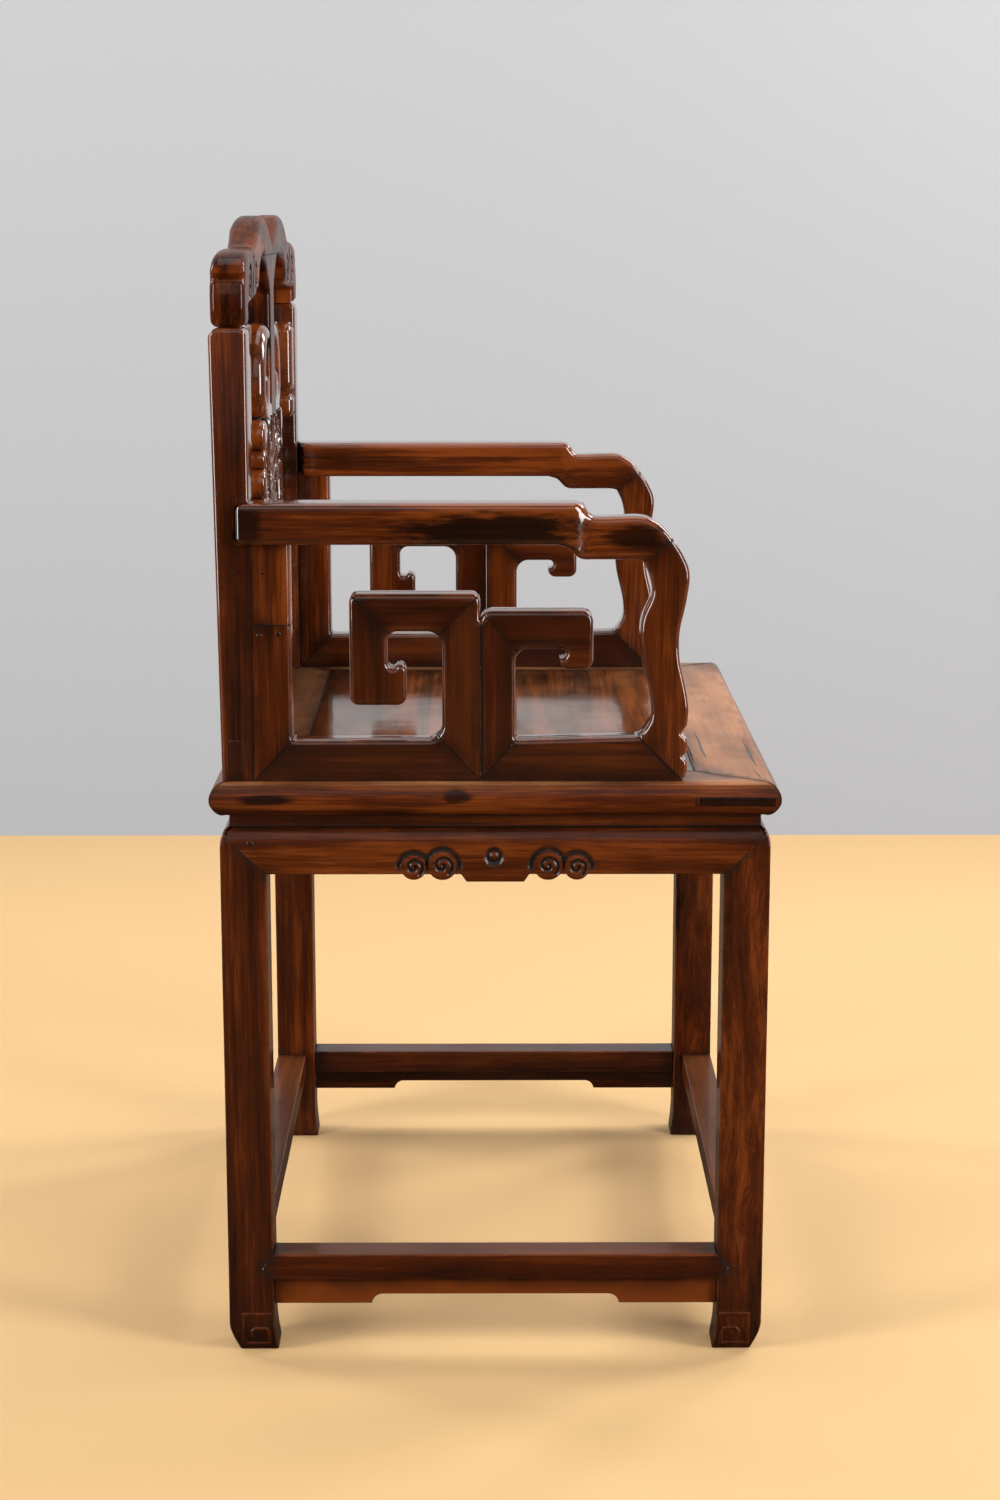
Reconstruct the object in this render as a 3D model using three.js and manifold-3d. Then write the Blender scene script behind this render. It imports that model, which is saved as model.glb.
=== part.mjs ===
// Armchair with a lobed, pierced back, fretted arms and a waisted base on four hoofed legs.
// Millimetres, +Z up. The origin is on the floor under the middle of the base, and the chair faces -Y.
// Right and left are the sitter's: the right side is at -X.
import * as THREE from "three";
import { mergeVertices } from "three/addons/utils/BufferGeometryUtils.js";
import Module from "manifold-3d";

const wasm = await Module();
wasm.setup();

// Stance
const legSpan = 595; // over the outer faces of the legs, side to side
const legDepth = 460; // the same, front to back
const seatHeight = 506; // floor to the top of the seat
const armRise = 231.5; // seat to the top of the arm rail
const backRise = 460; // seat to the top of the crest

// Joints and facets
const jointGap = 0.3; // open line between two pieces that meet
const overrun = 6; // how far a cut runs past the wood it goes through
const facetAngle = Math.PI / 13; // the most that an arc turns in one flat
const splineSteps = 4; // flats between two points of a free curve
const weldDistance = 1e-4; // corners closer than this are one

// Legs
const legSide = 39; // square section
const hoofRise = 27; // height over which the foot draws in
const hoofDrawIn = 8.5; // how far its outer faces draw in at the floor
const hoofHeel = 3; // how far its inner faces stand out at the floor
const hoofShares = [[0, 1], [0.12, 0.86], [0.35, 0.55], [0.6, 0.26], [0.82, 0.07], [1, 0]]; // rise, draw-in

// Waist and aprons
const waistInset = 8; // waist face behind the leg face
const waistDepth = 14;
const waistRise = 11.5;
const apronRise = 39; // top of the apron to its straight lower edge
const apronDepth = 16;
const shoulderRise = 16; // height over which apron and leg curve in to the waist
const shoulderSteps = 5;

// Scrolls that hang from the middle of an apron's lower edge
const tabHalf = 24; // middle tab, half its width
const tabDrop = 6.5;
const tabSlope = 4.5; // run of the tab's slanted ends
const innerScrollOffset = 44.2; // middle of the apron to the centre of the inner scroll
const innerScrollRadius = 12.3;
const innerScrollLift = 7.3; // its centre above the straight edge
const outerScrollOffset = 68.2;
const outerScrollRadius = 10.8;
const outerScrollLift = 6;

// Stretchers between the feet, and the strips under them
const stretcherTop = 90; // floor to the top face
const stretcherRise = 23;
const stretcherDepth = 30;
const stretcherTip = 10; // pointed end let into the leg's face
const stretcherTipDepth = 8;
const spandrelInset = 4; // strip face behind the stretcher face
const spandrelDepth = 11;
const spandrelRise = 14.2; // along the middle
const spandrelFootRise = 22.6; // beside the legs
const spandrelFootRun = 84; // leg to the start of the step up
const spandrelStepRun = 10;
const spandrelStepBowShare = -0.2; // hollow of that step

// Seat
const seatRailRise = 28.5;
const seatOverhang = 7.5; // bullnose past the leg faces
const seatNose = 8.5; // how far the bullnose swells past its own arrises
const seatFrontRailWidth = 69; // front and back rails, from the nose to the panel
const seatSideRailWidth = 52; // side rails
const panelThickness = 9;
const panelLedge = 9; // lip of the rails under the panel's edge
const battenWidth = 34;
const battenRise = 16;

// Arms: the two were fitted by hand, so some sizes differ from right to left
const armInset = 3.5; // outer face of fret and post behind the leg face
const rightArmDepth = 360.6; // front of the back to the front of the arm post
const leftArmDepth = 365.2;
const fretThickness = 27;
const footRailRise = 34.5;
const rearUprightWidth = 32;
const scarfRise = 131; // seat to the scarf in the right arm's rear upright
const rightRearBayDepth = 188.3; // front of the back to the joint between the two frets
const leftRearBayDepth = 192.7;
const rearFretBar = 31.5; // bar width of the rear fret
const rearFretRise = 156.7;
const rightRearFretRun = 107.8; // joint to the rear side of its hanging bar
const leftRearFretRun = 120;
const rearHookDrop = 93;
const rearHookRun = 47; // its foot, front to back
const rearHookToe = 36; // height of the toe that turns up
const rightFrontFretBar = 28.5;
const leftFrontFretBar = 31.2;
const frontFretTopBar = 31.6;
const frontFretRise = 142.7;
const frontFretRun = 92.8; // joint to the front of its hook
const rightFrontHookWidth = 27.5;
const leftFrontHookWidth = 29.5;
const frontHookDrop = 49;
const eyeRadius = 3.8; // round hollow inside a hook's curl
const toeRound = 8; // outer corners of a curl
const toeBowShare = 0.29; // swell of the toe
const quarterBowShare = -0.2; // a quarter round that is hollow
const eyeBowShare = -0.55; // a hollow that is more than half round
const toeShares = [[1, 0], [2, 0.7]]; // bottom of the hollow and cusp of the toe, in eye radii
const toeTopShare = 1.3; // top of the toe over the bottom of the hollow, in eye radii
const toeFallShare = 0.8; // where its swell ends, under that bottom
const curlShares = [2.2, 0.4]; // drop and lead of the front hook's tip, in eye radii
const fretCorner = 7.5; // outer corner radius of the rear fret
const frontFretCorner = 9.5;
const hookFillet = 8; // inner corner over the rear hook
const fretFillet = 12; // inner corner radius
const smallFillet = 3;

// Arm rail
const railRise = 34; // depth of its outer face, top to bottom
const railCoreRise = 29.5; // depth over the frets, behind that face
const railOuterLap = 7; // outer face outside the fret face
const railInnerLap = 3;
const railLapLength = 13; // tongue that laps the outside of the back post
const railEndRound = 6;
const neckLength = 95; // front of the arm to the start of the step in the rail
const neckStep = 20; // run of that step
const neckRise = 35.5; // depth of the neck
const neckTopShare = 0.951; // its top, as a share of the arm's rise
const neckEndShare = 0.2; // where its flat underside ends, in post depths behind the mitre
const lowerStepLead = 15; // the step below starts this much further back
const crownShares = [[0.16, 0.904], [0.42, 0.936], [0.72, 0.951]]; // post depths, arm rises
const stepShares = [[0, 0.948], [0.35, 0.955], [0.65, 0.99]]; // of the step's run, arm rises
const bellyShares = [[1, 0], [0.33, 0.23], [-0.33, 0.92]]; // of the lead and of the lower step's fall
const outerSweepBowShare = -0.12; // hollow of the rail's sides as they draw in to the neck
const innerSweepBowShare = -0.06;

// Arm post, as shares of the arm's rise and of the post's depth, from the front
const postDepth = 40;
const postHeelShare = 0.1; // where the post's foot starts
const postLowerLobeShares = [[0.002, 0.1], [0.022, 0.03], [0.048, 0.01], [0.072, 0.03], [0.088, 0.115]];
const postUpperLobeShares = [[0.1, 0.035], [0.13, 0.015], [0.152, 0.03], [0.17, 0.138]];
const postFrontShares = [
  [0.2, 0.03], [0.2665, 0], [0.35, 0.08], [0.444, 0.197], [0.541, 0.2], [0.638, 0.085],
  [0.745, 0.012], [0.816, 0.16], [0.868, 0.36],
];
const postRearShares = [
  [0.79, 0.97], [0.735, 0.83], [0.67, 0.79], [0.592, 0.97], [0.527, 1.01], [0.43, 0.96],
  [0.318, 0.81], [0.235, 0.78], [0.186, 0.9], [0.162, 1.03],
];

// Back
const backInset = 3; // rear of the post feet in front of the rear leg faces
const backPostFootDepth = 26.5; // front to back, at the seat
const backPostTopDepth = 31;
const backPostWidth = 36;
const backPostRise = 372.7; // seat to the joint under the crest
const crestDepth = 29;
const crestJointOffset = 204; // middle to the joint between head and shoulder
const crestScoop = 5.5; // hollow in the crest's rear face beside that joint
const crestScoopOffset = 185;
const crestScoopHalf = 80;
const bottomRailRise = 42;
const bottomRailDepth = 24;
const bottomRailInset = 3; // its face behind the faces of the posts
const splatInset = 1.5;
const splatDepth = 24;

// Crest, as shares of the back's half width and of the crest's rise above the posts
const crestTopShares = [
  [0.983, 0.494], [0.963, 0.586], [0.918, 0.655], [0.85, 0.693], [0.765, 0.706], [0.697, 0.706],
  [0.64, 0.722], [0.585, 0.785], [0.497, 0.9], [0.415, 0.973], [0.333, 1], [0.245, 0.988],
  [0.163, 0.92], [0.075, 0.81], [0, 0.715],
];
const crestEarShares = [[0.982, 0], [0.992, 0.07], [0.998, 0.24], [0.99, 0.4], [0.974, 0.45]];
const crestArchShares = [
  [0.32, 0.609], [0.418, 0.55], [0.485, 0.45], [0.512, 0.33], [0.565, 0.25], [0.697, 0.207],
];
const crestArmpitShare = 0.161; // underside of the shoulder where it meets the post

// Splat: a stem under the crest, a cloud scroll each side of it, a carved panel and an arched foot
const stemHalf = 22;
const stemFlareHalf = 92; // where the stem spreads to the crest
const stemFlareRise = 33;
const stemFlareBowShare = -0.09; // hollow of that spread
const cloudDrop = 12; // joint under the crest to the top of the clouds
const cloudRise = 78; // cloud scroll, bottom to top
const cloudHalf = 92; // middle of the back to its outer side
const cloudBar = 17;
const cloudEyeOffset = 47;
const cloudEyeRadius = 11;
const cloudEyeRise = 33;
const cloudTopBowShare = 0.2;
const cloudSideBowShare = 0.08;
const cloudHeelBowShare = 0.16;
const panelRise = 140;
const panelHalf = 92; // middle of the back to the roots of the panel's side lobes
const panelLobeBowShare = 0.42; // swell of a lobe
const panelLobeShares = [0, 0.165, 0.33, 0.505, 0.693, 0.812, 1]; // heights of the cusps between the lobes
const panelSlotHalf = 9; // half the width of the slots that pierce the panel
const panelSlotOffset = 62;
const panelSlotRise = 50;
const footOpeningHalf = 38; // arch in the splat's foot
const footOpeningRise = 58;
const footArchBowShare = 0.2;
const footWaistHalf = 66;
const footFlare = 26; // spread of the foot at the bottom rail
const footHeelBowShare = 0.16;

// Brackets on the inner sides of the posts
const bracketDrop = 17.5; // joint under the crest to the top of the bracket
const bracketDepth = 22;
const bracketInset = 1;
const bracketRoot = 6; // strip behind the lobes
const bracketCusp = 3; // notch between two lobes
const bracketLobeRises = [71, 26.5];
const bracketLobeReaches = [20, 15];

// Sizes that follow
const seatBottom = seatHeight - seatRailRise;
const apronTop = seatBottom - waistRise;
const apronBottom = apronTop - apronRise;
const halfSpan = legSpan / 2;
const halfDepth = legDepth / 2;
const backHalf = halfSpan - armInset;
const backFront = halfDepth - backInset - backPostFootDepth;
const crestRise = backRise - backPostRise;
const postInner = backHalf - backPostWidth;
const archTop = backPostRise + crestArchShares[0][1] * crestRise; // underside of the crest's middle
const panelTop = backPostRise - cloudDrop - cloudRise;

// Points of a closed outline that runs counterclockwise. A corner is [along, up, options]: round is
// the corner's radius, and bow is how far the edge to the next corner swells outwards, as a share of
// the edge's length.
function outline(corners) {
  const at = (i) => corners[(i + corners.length) % corners.length];
  const nodes = [];
  corners.forEach(([x, y, { bow = 0, round = 0 } = {}], i) => {
    const corner = new THREE.Vector2(x, y);
    if (!round) return nodes.push([corner, bow]);
    const before = new THREE.Vector2(at(i - 1)[0], at(i - 1)[1]).sub(corner).normalize();
    const after = new THREE.Vector2(at(i + 1)[0], at(i + 1)[1]).sub(corner).normalize();
    const turn = Math.PI - Math.acos(THREE.MathUtils.clamp(before.dot(after), -1, 1));
    const reach = round * Math.tan(turn / 2);
    const side = before.cross(after) < 0 ? 1 : -1;
    nodes.push([before.multiplyScalar(reach).add(corner), (side * Math.tan(turn / 4)) / 2]);
    nodes.push([after.multiplyScalar(reach).add(corner), bow]);
  });
  return nodes.flatMap(([start, bow], i) => {
    const end = nodes[(i + 1) % nodes.length][0];
    if (!bow) return [start];
    const chord = new THREE.Vector2().subVectors(end, start);
    const outward = new THREE.Vector2(chord.y, -chord.x).normalize();
    const half = 2 * Math.atan(2 * bow);
    const radius = chord.length() / 2 / Math.sin(half);
    const steps = Math.max(2, Math.ceil((2 * Math.abs(half)) / facetAngle));
    return Array.from({ length: steps }, (_, k) => {
      const angle = half * ((2 * k) / steps - 1);
      const run = 0.5 + (radius * Math.sin(angle)) / chord.length();
      const swell = radius * (Math.cos(angle) - Math.cos(half));
      return start.clone().addScaledVector(chord, run).addScaledVector(outward, swell);
    });
  });
}

// A smooth run of points through the ones given
function spline(points) {
  const curve = new THREE.SplineCurve(points.map(([x, y]) => new THREE.Vector2(x, y)));
  return curve.getPoints((points.length - 1) * splineSteps).map((p) => [p.x, p.y]);
}

// The shape of an outline drawn in (across, up) and run along one axis, from a lower to a higher place
function run(points, low, high, across, up, along, start) {
  const shape = new THREE.Shape(points);
  const geometry = new THREE.ExtrudeGeometry(shape, { depth: high - low, bevelEnabled: false });
  geometry.applyMatrix4(new THREE.Matrix4().makeBasis(across, up, along));
  geometry.translate(start.x, start.y, start.z);
  return solid(geometry);
}
const axis = (x, y, z) => new THREE.Vector3(x, y, z);
const alongX = (points, low, high) =>
  run(points, low, high, axis(0, 1, 0), axis(0, 0, 1), axis(1, 0, 0), axis(low, 0, 0));
const alongY = (points, low, high) =>
  run(points, low, high, axis(1, 0, 0), axis(0, 0, 1), axis(0, -1, 0), axis(0, high, 0));
const alongZ = (points, low, high) =>
  run(points, low, high, axis(1, 0, 0), axis(0, 1, 0), axis(0, 0, 1), axis(0, 0, low));
const rectangle = (left, right, low, high) =>
  outline([[left, low], [right, low], [right, high], [left, high]]);
const box = (x0, x1, y0, y1, z0, z1) => alongZ(rectangle(x0, x1, y0, y1), z0, z1);

function solid(geometry) {
  geometry.deleteAttribute("normal");
  geometry.deleteAttribute("uv");
  const merged = mergeVertices(geometry, weldDistance);
  return new wasm.Manifold(
    new wasm.Mesh({
      numProp: 3,
      vertProperties: merged.attributes.position.array,
      triVerts: new Uint32Array(merged.index.array),
    }),
  );
}

const joined = (first, ...others) => others.reduce((whole, part) => whole.add(part), first);
const cut = (first, ...others) => others.reduce((whole, part) => whole.subtract(part), first);
const shared = (first, ...others) => others.reduce((whole, part) => whole.intersect(part), first);

// A mesh of its own finish, named and put in its group
function piece(group, name, body, colour = 0x5a2412, roughness = 0.32) {
  const made = body.getMesh();
  const geometry = new THREE.BufferGeometry();
  geometry.setAttribute("position", new THREE.BufferAttribute(made.vertProperties, 3));
  geometry.setIndex(new THREE.BufferAttribute(made.triVerts, 1));
  geometry.computeVertexNormals();
  const material = new THREE.MeshStandardMaterial({ color: colour, roughness, metalness: 0 });
  const mesh = new THREE.Mesh(geometry, material);
  mesh.name = name;
  group.add(mesh);
  return mesh;
}

const chair = new THREE.Group();

// How far the shoulder has curved in at a share of its rise
const shoulderInset = (share) => waistInset * (1 - Math.sqrt(Math.max(0, 1 - share * share)));

// A square column around a corner at the origin, through levels of [height, outer place, inner place]
function column(levels) {
  const positions = levels.flatMap(([z, outer, inner]) => [
    outer, outer, z, inner, outer, z, inner, inner, z, outer, inner, z,
  ]);
  const index = [0, 2, 1, 0, 3, 2];
  levels.slice(1).forEach((_, level) => {
    for (let side = 0; side < 4; side++) {
      const a = level * 4 + side;
      const b = level * 4 + ((side + 1) % 4);
      index.push(a, b, b + 4, a, b + 4, a + 4);
    }
  });
  const top = (levels.length - 1) * 4;
  index.push(top, top + 1, top + 2, top, top + 2, top + 3);
  const geometry = new THREE.BufferGeometry();
  geometry.setAttribute("position", new THREE.BufferAttribute(new Float32Array(positions), 3));
  geometry.setIndex(index);
  return solid(geometry);
}

// Outline of a pointed stretcher end, from the leg's inner side into the leg
function tipOutline(root, direction, gap) {
  const middle = stretcherTop - stretcherRise / 2;
  const half = stretcherRise / 2 + gap;
  const corners = [
    [root, middle - half], [root + direction * (stretcherTip + gap), middle], [root, middle + half],
  ];
  return outline(direction > 0 ? corners : corners.reverse());
}

// A leg, with its outer corner at the origin and its wood towards +X and +Y
function leg() {
  const hoof = hoofShares.map(([rise, drawIn]) => [
    rise * hoofRise, drawIn * hoofDrawIn, legSide + drawIn * hoofHeel,
  ]);
  const shoulder = Array.from({ length: shoulderSteps }, (_, step) => {
    const share = step / (shoulderSteps - 1);
    return [apronTop - shoulderRise * (1 - share), shoulderInset(share), legSide];
  });
  const post = column([...hoof, ...shoulder]);
  const bed = apronDepth + jointGap;
  const mitre = [
    [-jointGap, apronTop], [legSide + overrun, apronBottom - overrun * (apronRise / legSide)],
    [legSide + overrun, apronTop + overrun], [-jointGap, apronTop + overrun],
  ];
  const mitreOutline = outline(mitre.map(([u, z]) => [u, z - jointGap]));
  const side = alongY(mitreOutline, -overrun, bed);
  const front = alongX(mitreOutline, -overrun, bed);
  const core = waistInset + waistDepth + jointGap;
  const stub = box(core, legSide, core, legSide, apronTop - shoulderRise, seatBottom - jointGap);
  const tip = tipOutline(legSide + jointGap, -1, jointGap);
  const tipBed = stretcherTipDepth + jointGap;
  return joined(
    cut(post, side, front, alongY(tip, -overrun, tipBed), alongX(tip, -overrun, tipBed)),
    stub,
  );
}

// What follows lies along local X with its outer face at local Y = 0 and its wood towards +Y
function seatRail(length, width, cornerRun) {
  const half = length / 2;
  const ledge = width + panelLedge;
  const shelf = -panelThickness - jointGap;
  const section = outline([
    [seatNose, -seatRailRise], [ledge, -seatRailRise], [ledge, shelf], [width, shelf], [width, 0],
    [seatNose, 0, { bow: seatNose / seatRailRise }],
  ]);
  const slope = cornerRun / width;
  const inner = half - slope * (ledge + overrun) - jointGap;
  const outer = half + slope * overrun - jointGap;
  const plan = outline([
    [-outer, -overrun], [outer, -overrun], [inner, ledge + overrun], [-inner, ledge + overrun],
  ]);
  return shared(alongX(section, -half, half), alongZ(plan, -seatRailRise - overrun, overrun));
}

function mitredStrip(length, depth, low, high) {
  const half = length / 2 - jointGap;
  return alongZ(outline([[-half, 0], [half, 0], [half - depth, depth], [depth - half, depth]]), low, high);
}

function scrollArc(offset, radius, lift) {
  const half = Math.sqrt(radius * radius - lift * lift);
  return [[offset - half, 0, { bow: (radius - lift) / (2 * half) }], [offset + half, 0]];
}

function apron(length) {
  const half = length / 2;
  const scrolls = [
    ...scrollArc(innerScrollOffset, innerScrollRadius, innerScrollLift),
    ...scrollArc(outerScrollOffset, outerScrollRadius, outerScrollLift),
  ];
  const otherScrolls = [
    ...scrollArc(-outerScrollOffset, outerScrollRadius, outerScrollLift),
    ...scrollArc(-innerScrollOffset, innerScrollRadius, innerScrollLift),
  ];
  const face = outline([
    [legSide - half, 0], ...otherScrolls,
    [-tabHalf - tabSlope, 0], [-tabHalf, -tabDrop], [tabHalf, -tabDrop], [tabHalf + tabSlope, 0],
    ...scrolls, [half - legSide, 0], [half, apronRise], [-half, apronRise],
  ]);
  const curve = Array.from({ length: shoulderSteps }, (_, step) => {
    const share = 1 - step / (shoulderSteps - 1);
    return [shoulderInset(share), apronRise - shoulderRise * (1 - share)];
  });
  const low = -tabDrop - overrun;
  const section = outline([[0, low], [apronDepth, low], [apronDepth, apronRise], ...curve]);
  const corner = half - jointGap;
  const past = apronDepth + overrun;
  const plan = outline([
    [-corner - overrun, -overrun], [corner + overrun, -overrun], [corner - past, past],
    [past - corner, past],
  ]);
  return shared(alongY(face, 0, apronDepth), alongX(section, -half, half), alongZ(plan, low, apronRise));
}

function stretcher(length) {
  const root = length / 2 - legSide - jointGap;
  const middle = stretcherTop - stretcherRise;
  const tips = [-1, 1].map((direction) =>
    alongY(tipOutline(direction * root, direction, 0), 0, stretcherTipDepth),
  );
  return joined(box(-root, root, 0, stretcherDepth, middle, stretcherTop), ...tips);
}

function spandrel(length) {
  const half = length / 2 - legSide - jointGap;
  const top = stretcherTop - stretcherRise - jointGap;
  const foot = half - spandrelFootRun;
  const step = foot - spandrelStepRun;
  const high = top - spandrelRise;
  const low = top - spandrelFootRise;
  const face = outline([
    [-half, low], [-foot, low, { bow: spandrelStepBowShare }], [-step, high],
    [step, high, { bow: spandrelStepBowShare }], [foot, low], [half, low], [half, top], [-half, top],
  ]);
  return alongY(face, spandrelInset, spandrelInset + spandrelDepth);
}

// Base: legs at the corners, and on each side a seat rail, waist, apron, stretcher and spandrel
function buildBase() {
  const legBody = leg();
  const corners = [
    ["front_right", 0, -halfSpan, -halfDepth], ["front_left", 1, halfSpan, -halfDepth],
    ["back_left", 2, halfSpan, halfDepth], ["back_right", 3, -halfSpan, halfDepth],
  ];
  for (const [name, quarter, x, y] of corners) {
    const mesh = piece(chair, "leg_" + name, legBody, 0x47190d);
    mesh.position.set(x, y, 0);
    mesh.rotation.z = (quarter * Math.PI) / 2;
  }
  const sides = [
    ["front", 0, legSpan, halfDepth, seatFrontRailWidth, seatSideRailWidth],
    ["left", 1, legDepth, halfSpan, seatSideRailWidth, seatFrontRailWidth],
    ["back", 2, legSpan, halfDepth, seatFrontRailWidth, seatSideRailWidth],
    ["right", 3, legDepth, halfSpan, seatSideRailWidth, seatFrontRailWidth],
  ];
  for (const [name, quarter, length, distance, railWidth, cornerRun] of sides) {
    const side = new THREE.Group();
    side.rotation.z = (quarter * Math.PI) / 2;
    chair.add(side);
    const inward = (mesh, offset, z) => mesh.position.set(0, offset - distance, z);
    const railLength = length + 2 * seatOverhang;
    const railBody = seatRail(railLength, railWidth, cornerRun);
    const rail = piece(side, "seat_rail_" + name, railBody, 0x5c2612, 0.28);
    inward(rail, -seatOverhang, seatHeight);
    const waistLength = length - 2 * waistInset;
    const waistBody = mitredStrip(waistLength, waistDepth, apronTop + jointGap, seatBottom - jointGap);
    inward(piece(side, "waist_" + name, waistBody, 0x3c160b), waistInset, 0);
    inward(piece(side, "apron_" + name, apron(length), 0x6e3116), 0, apronBottom);
    inward(piece(side, "stretcher_" + name, stretcher(length), 0x4b1c0e), 0, 0);
    inward(piece(side, "stretcher_spandrel_" + name, spandrel(length), 0x5f2a13), 0, 0);
  }
  const halfWidth = halfSpan + seatOverhang - seatSideRailWidth - jointGap;
  const halfLength = halfDepth + seatOverhang - seatFrontRailWidth - jointGap;
  const panelBody = box(-halfWidth, halfWidth, -halfLength, halfLength, -panelThickness, 0);
  const panel = piece(chair, "seat_panel", panelBody, 0x6b2e18, 0.22);
  panel.position.z = seatHeight;
  const reach = halfLength - panelLedge;
  const battenBody = box(-battenWidth / 2, battenWidth / 2, -reach, reach, -battenRise, 0);
  const batten = piece(chair, "seat_batten", battenBody);
  batten.position.z = seatHeight - panelThickness - jointGap;
}

// A saw cut of one joint gap from the outside to the inside of a corner, across the fret
function kerf([y0, z0], [y1, z1], past) {
  const from = new THREE.Vector2(y0, z0);
  const to = new THREE.Vector2(y1, z1);
  const way = new THREE.Vector2().subVectors(to, from).normalize();
  const side = new THREE.Vector2(way.y, -way.x).multiplyScalar(jointGap / 2);
  from.addScaledVector(way, -overrun);
  to.addScaledVector(way, past);
  const corners = [
    [from.x + side.x, from.y + side.y], [to.x + side.x, to.y + side.y],
    [to.x - side.x, to.y - side.y], [from.x - side.x, from.y - side.y],
  ];
  return alongX(outline(corners), -railOuterLap - overrun, fretThickness + railInnerLap + overrun);
}

// Names the separate bodies of a sawn fret, each by the one whose middle is nearest a point
function nameBodies(group, body, places, colour) {
  const bodies = body.decompose();
  for (const [name, y, z] of places) {
    const distance = (part) => {
      const { min, max } = part.boundingBox();
      return Math.hypot((min[1] + max[1]) / 2 - y, (min[2] + max[2]) / 2 - z);
    };
    const nearest = bodies.reduce((best, part) => (distance(part) < distance(best) ? part : best));
    piece(group, name, nearest, colour);
  }
}

// An arm, with the outer face of its fret at local X = 0 and its wood towards +X, standing on Z = 0
function buildArm(prefix, hand) {
  const arm = new THREE.Group();
  arm.position.set(-hand.side * backHalf, 0, seatHeight);
  arm.scale.x = hand.side;
  chair.add(arm);
  rearFret(arm, prefix, hand);
  frontFret(arm, prefix, hand);
}

const fretFace = (points) => alongX(outline(points), 0, fretThickness);

// Rear fret: foot rail, upright beside the back and a hooked fret, mitred at each corner
function rearFret(arm, prefix, { rearBay, rearRun, scarfed }) {
  const foot = jointGap;
  const rear = backFront - jointGap;
  const under = armRise - railCoreRise - jointGap;
  const joint = backFront - rearBay + jointGap / 2;
  const inner = joint + rearFretBar;
  const hookRear = joint + rearRun;
  const hookInner = hookRear - rearFretBar;
  const hookFront = hookRear - rearHookRun;
  const hookLow = rearFretRise - rearHookDrop;
  const barUnder = rearFretRise - rearFretBar;
  const uprightFront = rear - rearUprightWidth;
  const hollow = hookLow + rearHookToe - toeTopShare * eyeRadius;
  const [[bottomShare], [cuspShare, cuspRiseShare]] = toeShares;
  const body = fretFace([
    [rear, foot], [rear, under], [uprightFront, under],
    [uprightFront, footRailRise, { round: smallFillet }], [inner, footRailRise, { round: fretFillet }],
    [inner, barUnder, { round: fretFillet }], [hookInner, barUnder, { round: hookFillet }],
    [hookInner, hollow + eyeRadius, { bow: quarterBowShare }],
    [hookInner - bottomShare * eyeRadius, hollow, { bow: quarterBowShare }],
    [hookInner - cuspShare * eyeRadius, hollow + cuspRiseShare * eyeRadius, { bow: toeBowShare }],
    [hookFront, hollow - toeFallShare * eyeRadius], [hookFront, hookLow, { round: toeRound }],
    [hookRear, hookLow, { round: fretCorner }], [hookRear, rearFretRise, { round: fretCorner }],
    [joint, rearFretRise, { round: fretCorner }], [joint, foot],
  ]);
  const mitres = [
    kerf([rear, foot], [uprightFront, footRailRise], fretFillet),
    kerf([joint, foot], [inner, footRailRise], fretFillet),
    kerf([joint, rearFretRise], [inner, barUnder], fretFillet),
    kerf([hookRear, rearFretRise], [hookInner, barUnder], hookFillet),
  ];
  if (scarfed) mitres.push(kerf([rear, scarfRise], [uprightFront, scarfRise], overrun));
  const uprightMiddle = (rear + uprightFront) / 2;
  const uprights = scarfed
    ? [
        ["rear_upright_lower", uprightMiddle, scarfRise / 2],
        ["rear_upright_upper", uprightMiddle, (scarfRise + under) / 2],
      ]
    : [["rear_upright", uprightMiddle, under / 2]];
  const places = [
    ...uprights,
    ["foot_rail_rear", (rear + joint) / 2, footRailRise / 2],
    ["rear_fret_upright", (joint + inner) / 2, rearFretRise / 2],
    ["rear_fret_top", (joint + hookRear) / 2, rearFretRise - rearFretBar / 2],
    ["rear_fret_hook", (hookRear + hookFront) / 2, (rearFretRise + hookLow) / 2],
  ].map(([name, y, z]) => [prefix + name, y, z]);
  nameBodies(arm, cut(body, ...mitres), places, 0x4a1a0d);
}

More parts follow.
